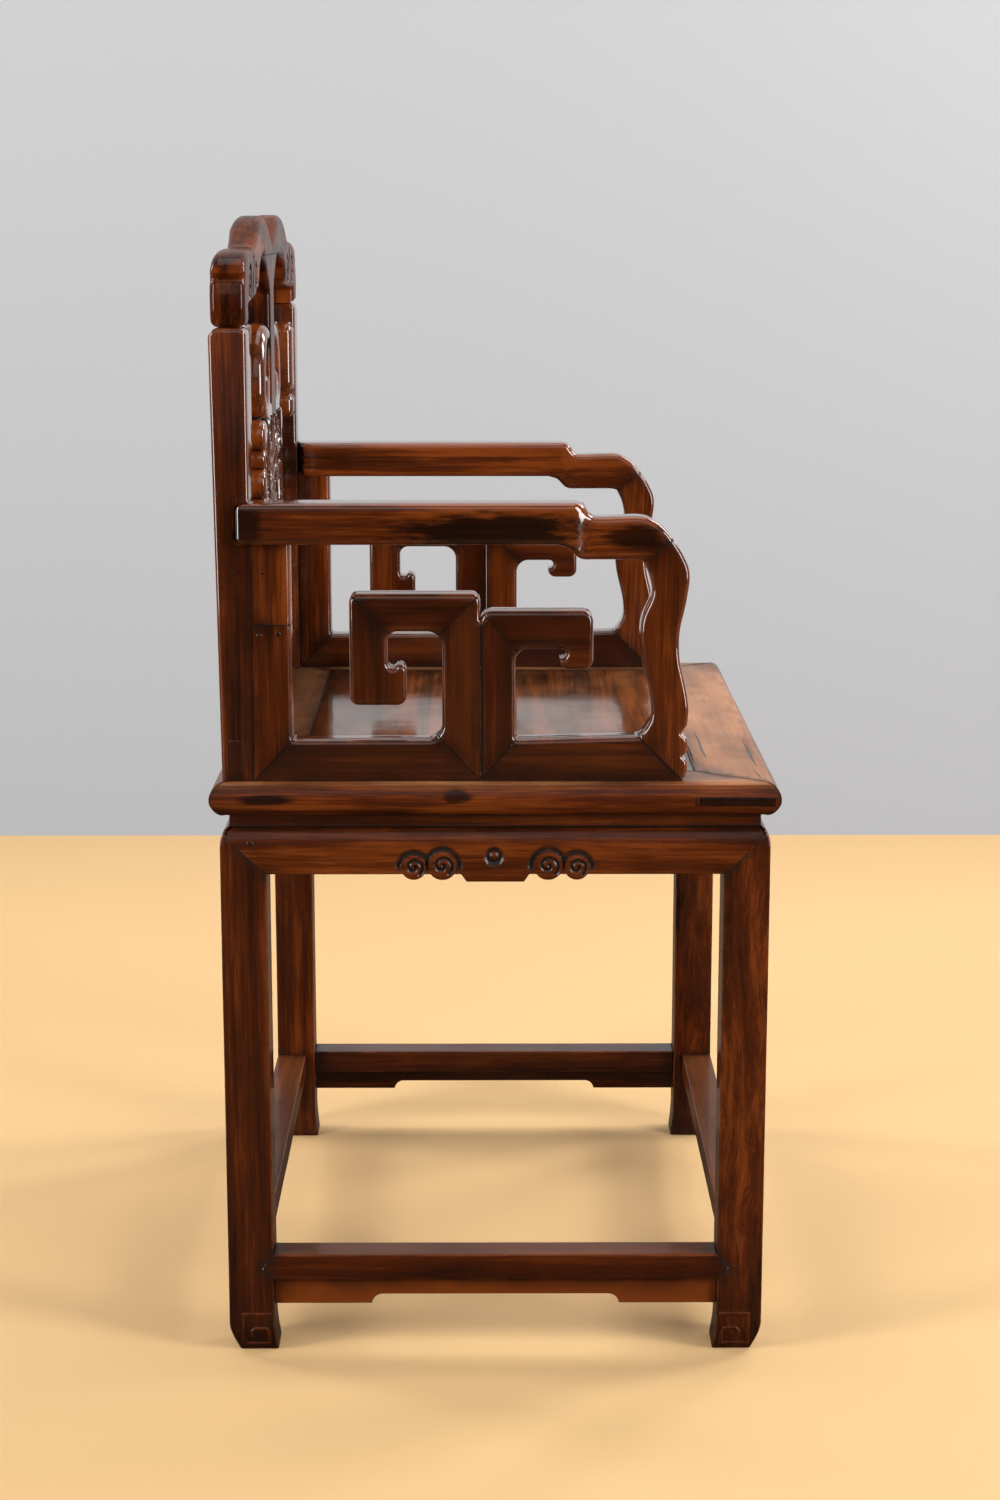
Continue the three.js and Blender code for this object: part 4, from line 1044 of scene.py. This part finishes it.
def foliage(points):
    """A pierced panel's leaves: a flower, and stems that curl into leaves on both sides"""
    low, high = BOXES["splat_panel"]
    middle, height = (low.z + high.z) / 2, high.z - low.z
    folded = np.stack([np.abs(points[:, 0]), points[:, 1] - middle], 1)
    ground = bpy.context.scene.armchair_shape.relief_depth
    raised = stroke(folded, [FLOWER, (0, FLOWER[1] + 0.5 * MM)], 7 * MM, 7 * MM, ground)
    for k in range(PETALS):
        angle = math.tau * (k + 0.5) / PETALS
        way = np.array([math.cos(angle), math.sin(angle)])
        petal = [way * radius + FLOWER for radius in (7 * MM, 22 * MM)]
        raised = np.maximum(raised, stroke(folded, petal, 3 * MM, 6.5 * MM, ground * 0.85))
    for corners, first, last in FOLIAGE:
        line = curve_through(np.array(corners) * (1, height))
        raised = np.maximum(raised, stroke(folded, line, 1.3 * first * MM, 1.3 * last * MM, ground))
        raised -= groove(folded, line, 1.1 * MM, 1.6 * MM) * (raised > 0.5 * ground)
    raised[folded[:, 0] > 82 * MM] = ground
    cut = ground - np.clip(raised, 0, ground)
    return cut, darker_with_depth(cut, ground) * 0.9


FLOWER, PETALS = (0, 0.008), 8
# Places along each stem, across in metres and up as shares of the panel's height, and then the stem's
# half width at its root and at its tip, in millimetres
FOLIAGE = [
    ([(0.004, -0.48), (0.012, -0.38), (0.03, -0.3), (0.046, -0.36), (0.04, -0.43), (0.031, -0.4)], 4.5, 5),
    ([(0.012, -0.38), (0.006, -0.24), (0.016, -0.12), (0.034, -0.06)], 5, 2.5),
    ([(0.03, -0.3), (0.044, -0.2), (0.046, -0.08), (0.04, 0.02)], 5, 3),
    ([(0.04, 0.02), (0.046, 0.14), (0.038, 0.26), (0.022, 0.3), (0.016, 0.22), (0.024, 0.18)], 4, 5),
    ([(0.044, 0.1), (0.062, 0.2), (0.074, 0.3), (0.07, 0.4)], 6, 2.5),
    ([(0.038, 0.26), (0.046, 0.36), (0.042, 0.46), (0.028, 0.48)], 5.5, 3),
    ([(0.01, 0.26), (0.008, 0.38), (0.012, 0.48)], 6, 4),
    ([(0.06, -0.26), (0.072, -0.34), (0.076, -0.44)], 6.5, 3),
    ([(0.05, -0.2), (0.064, -0.24), (0.078, -0.24)], 5, 3),
    ([(0.076, -0.12), (0.078, 0.0), (0.076, 0.12)], 4, 4),
    ([(0.01, -0.2), (0.022, -0.24), (0.032, -0.2)], 5, 2.5),
    ([(0.026, 0.1), (0.036, 0.06), (0.044, 0.08)], 4, 2.5),
]


# What each finish is used for in the record, and how it differs from the plain wood

FINISHES = {
    "leg_hardwood": ("leg_wood", dict(tone=-0.14, gloss=0.22, contrast=0.95)),
    "front_leg_hardwood": ("leg_wood", dict(
        tone=0.02, sway=0.035, sway_scale=24, stretch=0.13, streaks=46, contrast=1.05)),
    "seat_frame_hardwood": ("seat_frame_wood", dict(
        tone=0.05, gloss=0.3, streaks=45, fade_and_top_light=1.0, contrast=1.5, coat=0.15, patches=[
            ((-0.30, 0.19, 0.492), (0.03, 0.03, 0.005), 0.9),
            ((-0.30, 0.033, 0.495), (0.03, 0.013, 0.008), 0.85),
            ((0.05, 0.2, 0.506), (0.3, 0.06, 0.03), 0.6)])),
    "seat_panel_hardwood": ("seat_panel_wood", dict(
        tone=-0.15, gloss=0.1, streaks=52, fade_and_top_light=0.25, contrast=2.2, coat=0.3, shine=0.2, patches=[
            ((0.05, 0.2, 0.506), (0.3, 0.11, 0.05), 0.6)])),
    "inner_hardwood": ("inner_wood", dict(tone=-0.2, gloss=0.4)),
    "waist_hardwood": ("waist_wood", dict(tone=0.05, gloss=0.28, coat=0.2)),
    "apron_hardwood": ("apron_wood", dict(tone=0.1, gloss=0.24, contrast=1.25, coat=0.2)),
    "stretcher_hardwood": ("stretcher_wood", dict(
        tone=-0.18, gloss=0.3, fade_and_top_light=0.15, contrast=0.75, coat=0.15)),
    # Painted shade: a darker copy of the stretcher wood for the far stretcher and spandrel, which stand in
    # the shade under the seat
    "far_stretcher_hardwood": ("stretcher_wood", dict(tone=-0.4, gloss=0.26)),
    # Painted light: the near spandrel's colour is brightened to make up for the shade under its stretcher
    "spandrel_hardwood": ("stretcher_wood", dict(tone=1.0, gloss=0.28, coat=0.2)),
    "arm_hardwood": ("arm_wood", dict(tone=-0.27, gloss=0.15, streaks=34, contrast=0.85, coat=0.9)),
    "foot_rail_hardwood": ("arm_wood", dict(tone=-0.5, gloss=0.15, streaks=34, contrast=0.8, coat=0.9)),
    "upright_hardwood": ("arm_wood", dict(tone=0.08, contrast=1.3)),
    "arm_rail_hardwood": ("arm_wood", dict(tone=0.12, gloss=0.13, contrast=1.6, coat=0.9, patches=[
        ((-0.298, 0.002, 0.714), (0.05, 0.088, 0.018), 0.95),
        ((-0.294, -0.113, 0.709), (0.05, 0.028, 0.012), 0.85),
        ((-0.298, 0.205, 0.72), (0.05, 0.016, 0.02), 0.8)])),
    "arm_post_hardwood": ("arm_wood", dict(
        tone=0.16, gloss=0.13, streaks=40, sway=0.02, sway_scale=12, contrast=1.6, coat=0.9)),
    "back_post_hardwood": ("back_frame_wood", dict(tone=0.05, gloss=0.18, contrast=1.2, coat=0.8, patches=[
        ((0.258, 0.205, 0.745), (0.03, 0.03, 0.05), 0.75)])),
    "carved_hardwood": ("carved_wood", dict(tone=0.2, gloss=0.13, contrast=1.2, coat=0.9)),
    "crest_hardwood": ("carved_wood", dict(tone=-0.12, gloss=0.34, contrast=1.3, coat=0.27, shine=0.02)),
}
# The finishes of the pieces let into the others
INLAY_FINISHES = {
    "foot_mark_hardwood": dict(tone=-0.35, gloss=0.3, contrast=0.8, coat=0.1),
    "peg_hardwood": dict(tone=-0.7, gloss=0.3, contrast=0.6),
    "tenon_hardwood": dict(tone=-0.9, gloss=0.18, contrast=0.8),
    # Painted shade: near-black inlays that stand in for the shade inside open joints and cracks
    "gap_hardwood": dict(tone=-1.0, gloss=0.7, contrast=0.2, coat=0.0),
}


# Finishes and pieces, one operator each

class ARMCHAIR_OT_finishes(bpy.types.Operator):
    """Make the wood effects and a waxed finish for each kind of piece"""
    bl_idname = "armchair.finishes"
    bl_label = "Finishes"

    def execute(self, context):
        for make in (wood_figure, dark_patch, wear_and_soil, hand_polish):
            make()
        own = {name: settings for name, (_, settings) in FINISHES.items()}
        for name, settings in {**own, **INLAY_FINISHES}.items():
            hardwood(name, **settings)
        return {"FINISHED"}


class ARMCHAIR_OT_legs(bpy.types.Operator):
    """Build the four legs on their hoof feet"""
    bl_idname = "armchair.legs"
    bl_label = "Legs"

    def execute(self, context):
        for place in LEGS:
            finish = "front_leg_hardwood" if place.startswith("front") else "leg_hardwood"
            dressed("leg_" + place, context.scene.armchair_shape.base_arris, "Z", finish)
        return {"FINISHED"}


class ARMCHAIR_OT_seat(bpy.types.Operator):
    """Build the seat frame, its panel and the batten"""
    bl_idname = "armchair.seat"
    bl_label = "Seat"

    def execute(self, context):
        for side, grain in SIDES.items():
            rail = dressed("seat_rail_" + side, 2.4 * MM, grain, "seat_frame_hardwood")
            for vertex in rail.data.vertices:  # the worn nose leaves room for the inlays in it
                nose = min(max((abs(vertex.co.x) - 290 * MM) / (12 * MM), 0), 1)
                vertex.co.x -= math.copysign(0.25 * MM * nose, vertex.co.x)
        dressed("seat_panel", 0.6 * MM, "X", "seat_panel_hardwood")
        dressed("seat_batten", 1 * MM, "Y", "inner_hardwood")
        return {"FINISHED"}


class ARMCHAIR_OT_base(bpy.types.Operator):
    """Build the waist, the aprons, and the stretchers with their spandrels"""
    bl_idname = "armchair.base"
    bl_label = "Waist, aprons and stretchers"

    def execute(self, context):
        arris = context.scene.armchair_shape.base_arris
        for side, grain in SIDES.items():
            dressed("waist_" + side, 1 * MM, grain, "waist_hardwood")
            scrolled_apron(side)
            far = side == "left"
            dressed("stretcher_" + side, arris, grain,
                    "far_stretcher_hardwood" if far else "stretcher_hardwood")
            plate("stretcher_spandrel_" + side, "Y" if grain == "X" else "X", 1.2 * MM, grain,
                  "far_stretcher_hardwood" if far else "spandrel_hardwood", step=14 * MM)
        return {"FINISHED"}


class ARMCHAIR_OT_arms(bpy.types.Operator):
    """Build the arms: frets, uprights, posts and rails"""
    bl_idname = "armchair.arms"
    bl_label = "Arms"

    def execute(self, context):
        arris = context.scene.armchair_shape.arris
        bars = {
            "foot_rail_rear": ("Y", "foot_rail_hardwood"),
            "rear_fret_upright": ("Z", "foot_rail_hardwood"),
            "rear_fret_top": ("Y", "arm_hardwood"),
            "rear_fret_hook": ("Z", "arm_hardwood"),
            "foot_rail_front": ("Y", "foot_rail_hardwood"),
            "front_fret_upright": ("Z", "arm_hardwood"),
            "front_fret_hook": ("Y", "arm_hardwood"),
        }
        uprights = {"right": ("rear_upright_lower", "rear_upright_upper"), "left": ("rear_upright",)}
        for side in ARMS:
            rear = dict.fromkeys(uprights[side], ("Z", "upright_hardwood"))
            front = {"front_post": ("Z", "arm_post_hardwood")}
            for bar, (grain, finish) in {**bars, **rear, **front}.items():
                plate(side + "_arm_" + bar, "X", arris, grain, finish)
            swept_rail(side)
        return {"FINISHED"}


def post_tops(side):
    """The upper corners of a back post, and how far they are rounded"""
    loop = outline_of("back_post_" + side, "X")[0][0]
    top = loop[loop[:, 1] > loop[:, 1].max() - 0.5 * MM]
    return [(top[top[:, 0].argmin()], 6.5 * MM), (top[top[:, 0].argmax()], 9 * MM)]


class ARMCHAIR_OT_back(bpy.types.Operator):
    """Build the back: posts, bottom rail, crest, brackets, clouds, stem and carved splat"""
    bl_idname = "armchair.back"
    bl_label = "Back"

    def execute(self, context):
        shape = context.scene.armchair_shape
        crest = dict(carve=crest_carving, rear=crest_rear)
        for side, sign in (("right", -1), ("left", 1)):
            low, high = BOXES["back_post_" + side]
            plate("back_post_" + side, "X", 4 * MM, "Z", "back_post_hardwood", step=12 * MM,
                  loose=((low.y - MM, high.z - 2 * MM), (high.y + MM, high.z + MM)),
                  round_off=post_tops(side))
            plate("splat_cloud_" + side, "Y", 10 * MM, "X", "carved_hardwood", step=3 * MM)
            plate("post_bracket_" + side, "Y", 8 * MM, "Z", "carved_hardwood", step=3 * MM)
            first, last = sorted((sign * 0.206, sign * 0.262))
            plate("back_crest_shoulder_" + side, "Y", shape.crest_arris, "Z", "crest_hardwood",
                  step=4 * MM, loose=((-0.3, high.z - 2 * MM), (0.3, high.z + 2 * MM)),
                  fine=[((first, 0.896), (last, 0.936), 1.3 * MM)], **crest)
        plate("back_crest_head", "Y", shape.crest_arris, "X", "crest_hardwood", step=4.5 * MM,
              fine=[((x - 21 * MM, 0.9), (x + 21 * MM, 0.936), 1.3 * MM) for x in (-0.179, 0.179)], **crest)
        plate("back_bottom_rail", "Y", 2 * MM, "X", "back_post_hardwood", step=14 * MM)
        plate("splat_stem", "Y", 4.5 * MM, "Z", "crest_hardwood", step=4 * MM)
        low, high = BOXES["splat_panel"]
        plate("splat_panel", "Y", 5 * MM, "Z", "carved_hardwood", carve=foliage, step=4 * MM,
              fine=[((-88 * MM, low.z + 3 * MM), (88 * MM, high.z - 3 * MM), 1.6 * MM)])
        plate("splat_foot", "Y", 4.5 * MM, "Z", "carved_hardwood", step=5 * MM)
        return {"FINISHED"}


class ARMCHAIR_OT_marks(bpy.types.Operator):
    """Add the feet's square scrolls, the pegs, the tenons, and near-black inlays that paint the shade in the
    open joints and cracks
    """
    bl_idname = "armchair.marks"
    bl_label = "Scrolls, pegs and cracks"

    def execute(self, context):
        for place in LEGS:
            carrier = "leg_" + place
            foot = np.array([v.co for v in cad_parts[carrier].data.vertices if v.co.z < MM])
            for face in ("-X" if "right" in place else "+X", "+Y" if "back" in place else "-Y"):
                x = foot[:, AXES[face[1]][0]]
                inner, outer = sorted((x.min(), x.max()), key=abs)
                line = [(outer + (inner - outer) * share, z) for share, z in FOOT_SCROLL]
                inlay("foot_scroll_" + place + "_" + face[1].lower(), carrier, face, "foot_mark_hardwood",
                      ribbon(line, 3.4 * MM), proud=0.9 * MM, crown=1.7 * MM, pitch=1.4 * MM)
        for name, carrier, face, finish, proud, corners in MARKS:
            inlay(name, carrier, face, finish + "_hardwood", corners, proud * MM)
        return {"FINISHED"}


FOOT_SCROLL = [(0.85, 0.0355), (0.09, 0.0355), (0.09, 0.0064), (0.77, 0.0064), (0.77, 0.0185),
               (0.68, 0.0222), (0.42, 0.0222), (0.32, 0.019), (0.32, 0.0125)]
RIGHT_UPRIGHT, RIGHT_POST, FRONT_RAIL = "right_arm_rear_upright_lower", "back_post_right", "seat_rail_front"
MARKS = [  # name, carrier, its face, finish, how proud it stands in millimetres, corners
    ("apron_peg_right", "apron_right", "-X", "peg", 0.25, disc((0.2045, 0.4535), 2.6 * MM)),
    ("apron_peg_left", "apron_left", "+X", "peg", 0.25, disc((0.2045, 0.4535), 2.6 * MM)),
    ("upright_peg_rear", RIGHT_UPRIGHT, "-X", "peg", 0.25, disc((0.194, 0.6281), 2.3 * MM)),
    ("upright_peg_front", RIGHT_UPRIGHT, "-X", "peg", 0.25, disc((0.1784, 0.6296), 2.1 * MM)),
    ("upright_pin", "right_arm_rear_upright_upper", "-X", "tenon", 0.2, disc((0.1905, 0.68), 1.3 * MM)),
    ("post_pin_low", RIGHT_POST, "-X", "tenon", 0.2, disc((0.2143, 0.68), 1.3 * MM)),
    ("post_pin_high", RIGHT_POST, "-X", "tenon", 0.2, disc((0.225, 0.744), 1.3 * MM)),
    ("post_tenon_right", RIGHT_POST, "-X", "peg", 0.2,
     [(0.2105, 0.5125), (0.2195, 0.512), (0.22, 0.541), (0.211, 0.5405)]),
    ("rail_tenon_front", "seat_rail_right", "-X", "tenon", 0.15,
     [(-0.169, 0.4868), (-0.2325, 0.4863), (-0.2325, 0.4948), (-0.169, 0.495)]),
    ("rail_tenon_key", "seat_rail_right", "-X", "peg", 0.15,
     [(-0.1655, 0.487), (-0.1684, 0.4868), (-0.1684, 0.495), (-0.1655, 0.4948)]),
    # Painted shade: the open joints and cracks below are near-black inlays, not openings
    ("arm_open_joint", "right_arm_foot_rail_front", "-X", "gap", 0.1,
     [(-0.1207, 0.5409), (-0.1519, 0.5094), (-0.1507, 0.5082), (-0.12, 0.5402)]),
    ("fret_seam", "right_arm_front_fret_upright", "-X", "gap", 0.1,
     [(0.0119, 0.5078), (0.0119, 0.6378), (0.0096, 0.6378), (0.0098, 0.5104)]),
    ("arm_crack", "right_arm_foot_rail_front", "-X", "gap", 0.1,
     split([(-0.088, 0.5388), (-0.1, 0.5383), (-0.1146, 0.5376)], 1.1 * MM)),
    ("seat_crack", FRONT_RAIL, "+Z", "gap", 0.1,
     split([(-0.115, -0.1703), (-0.18, -0.1709), (-0.222, -0.1711)], 1.6 * MM)),
    ("seat_streak_rear", FRONT_RAIL, "+Z", "peg", 0.1,
     split([(-0.078, -0.1812), (-0.12, -0.1822), (-0.16, -0.1816), (-0.198, -0.183)], 2.6 * MM)),
    ("seat_streak_front", FRONT_RAIL, "+Z", "peg", 0.1,
     split([(-0.12, -0.2214), (-0.16, -0.2224), (-0.2, -0.222), (-0.232, -0.2236)], 3 * MM)),
    ("seat_streak_corner", FRONT_RAIL, "+Z", "peg", 0.1,
     split([(-0.252, -0.2185), (-0.268, -0.2212), (-0.284, -0.222)], 2 * MM)),
    ("far_arm_joint", "left_arm_rail", "-X", "gap", 0.1,
     split([(0.1851, 0.722), (0.175, 0.714), (0.1675, 0.708)], 0.9 * MM)),
]


def paint(name, colour, others, far_colour, near, far):
    """A matt paint that fades to a flat colour far away, with a second colour for what it lights"""
    tree = cleared(bpy.data.materials.new(name))
    path = tree.node("ShaderNodeLightPath").outputs
    place = tree.node("ShaderNodeNewGeometry").outputs
    seen = path["Is Camera Ray"]
    if name == "wall_paint":
        seen = tree.sum("MAXIMUM", seen, path["Is Glossy Ray"])
    shader = tree.node("ShaderNodeBsdfPrincipled", Roughness=0.8,
                       Base_Color=tree.mix(seen, (*others, 1), (*colour, 1)))
    plain = tree.node("ShaderNodeEmission", Color=(*far_colour, 1))
    faded_and_lit = tree.reach(tree.vector("LENGTH", place["Position"]), near, far, 0.0, 0.95)
    shown = tree.blend(tree.sum("MULTIPLY", faded_and_lit, seen), shader.outputs[0], plain.outputs[0])
    if name == "wall_paint":
        clear = tree.node("ShaderNodeBsdfTransparent").outputs[0]
        shown = tree.blend(place["Backfacing"], shown, clear)
    tree.node("ShaderNodeOutputMaterial", Surface=shown)


def sheet(name, corners, material):
    mesh = bpy.data.meshes.new(name)
    mesh.from_pydata(corners, [], [(0, 1, 2, 3)])
    mesh.materials.append(bpy.data.materials[material])
    made = bpy.data.objects.new(name, mesh)
    bpy.context.scene.collection.objects.link(made)


LAMPS = {  # place, width and height, power
    "ceiling_light": ((0.3, 0, 2.9), (1.7, 1.7), 16),
    "front_window": ((-1.7, -2.9, 1.4), (0.9, 2.6), 106),
    "rear_window": ((-1.6, 2.9, 1.4), (0.9, 2.6), 94),
    "near_light": ((-3.3, -0.2, 2.9), (4.2, 2.6), 24),
    "front_far_window": ((0.95, -2.4, 2.3), (0.7, 0.9), 38),
    "neck_window": ((1.45, -1.35, 2.15), (0.4, 0.7), 12),
    "rear_far_window": ((1.0, 2.4, 2.3), (0.6, 0.9), 26),
}
LIT_PLACE = Vector((0, 0, 0.55))
SKY_LIGHT, SKY_SEEN = 0.16, 0.75  # the world's strength for what it lights and for the camera
FLOOR_REACH, WALL_X, WALL_REACH, WALL_TOP = 9, 1.65, 5, 3.6


class ARMCHAIR_OT_stage(bpy.types.Operator):
    """Lay the floor, hang the backdrop, light the chair and place the camera"""
    bl_idname = "armchair.stage"
    bl_label = "Stage"

    def execute(self, context):
        scene, stage = context.scene, context.scene.armchair_stage
        scene.view_settings.view_transform = "Standard"
        paint("floor_paint", stage.floor, (0.12, 0.07, 0.028), (0.785, 0.525, 0.27), 1.1, 3.0)
        paint("wall_paint", stage.wall, (0.54, 0.54, 0.555), (0.62, 0.62, 0.635), 2.0, 3.2)
        around = ((-1, -1), (1, -1), (1, 1), (-1, 1))
        sheet("floor", [(x * FLOOR_REACH, y * FLOOR_REACH, 0) for x, y in around], "floor_paint")
        sides = ((-WALL_REACH, -0.01), (-WALL_REACH, WALL_TOP), (WALL_REACH, WALL_TOP), (WALL_REACH, -0.01))
        sheet("backdrop", [(WALL_X, y, z) for y, z in sides], "wall_paint")
        for name, (place, size, power) in LAMPS.items():
            lamp = bpy.data.lights.new(name, "AREA")
            lamp.shape, lamp.size, lamp.size_y, lamp.energy = "RECTANGLE", *size, power
            holder = bpy.data.objects.new(name, lamp)
            scene.collection.objects.link(holder)
            holder.location = place
            holder.rotation_euler = (LIT_PLACE - Vector(place)).to_track_quat("-Z", "Y").to_euler()
        scene.world = bpy.data.worlds.new("studio")
        tree = cleared(scene.world)
        seen = tree.node("ShaderNodeLightPath").outputs["Is Camera Ray"]
        sky = tree.node("ShaderNodeBackground", Color=(0.86, 0.88, 0.9, 1),
                        Strength=tree.reach(seen, 0.0, 1.0, SKY_LIGHT, SKY_SEEN))
        tree.node("ShaderNodeOutputWorld", Surface=sky.outputs[0])
        camera = bpy.data.cameras.new("camera")
        camera.lens, camera.sensor_width, camera.sensor_fit = stage.lens, 36, "AUTO"
        camera.clip_start, camera.clip_end = 0.05, 60
        scene.camera = bpy.data.objects.new("camera", camera)
        scene.collection.objects.link(scene.camera)
        scene.camera.location = stage.camera_place
        aim = Vector(stage.camera_aim).normalized()
        right = aim.cross(Vector((0, 0, 1))).normalized()
        scene.camera.rotation_euler = Matrix((right, right.cross(aim), -aim)).transposed().to_euler()
        return {"FINISHED"}


STEPS = (
    ARMCHAIR_OT_finishes, ARMCHAIR_OT_legs, ARMCHAIR_OT_seat, ARMCHAIR_OT_base, ARMCHAIR_OT_arms,
    ARMCHAIR_OT_back, ARMCHAIR_OT_marks, ARMCHAIR_OT_stage)
GROUPS = {
    "armchair_shape": ArmchairShape, "armchair_finish": ArmchairFinish, "armchair_stage": ArmchairStage}


class ARMCHAIR_PT_panel(bpy.types.Panel):
    """Sizes, colours and steps of the armchair"""
    bl_idname = "ARMCHAIR_PT_panel"
    bl_label = "Hardwood armchair"
    bl_space_type = "VIEW_3D"
    bl_region_type = "UI"
    bl_category = "Armchair"

    def draw(self, context):
        for place in GROUPS:
            group, column = getattr(context.scene, place), self.layout.column()
            for name in group.bl_rna.properties.keys():
                if name not in ("rna_type", "name"):
                    column.prop(group, name)
        for step in STEPS:
            self.layout.operator(step.bl_idname)


CLASSES = (*GROUPS.values(), *STEPS, ARMCHAIR_PT_panel)


def register():
    for made in CLASSES:
        bpy.utils.register_class(made)
    for place, group in GROUPS.items():
        setattr(bpy.types.Scene, place, PointerProperty(type=group))


def unregister():
    for place in GROUPS:
        delattr(bpy.types.Scene, place)
    for made in reversed(CLASSES):
        bpy.utils.unregister_class(made)


def main():
    register()
    for step in STEPS:
        group, name = step.bl_idname.split(".")
        getattr(getattr(bpy.ops, group), name)()


if __name__ == "__main__":
    main()
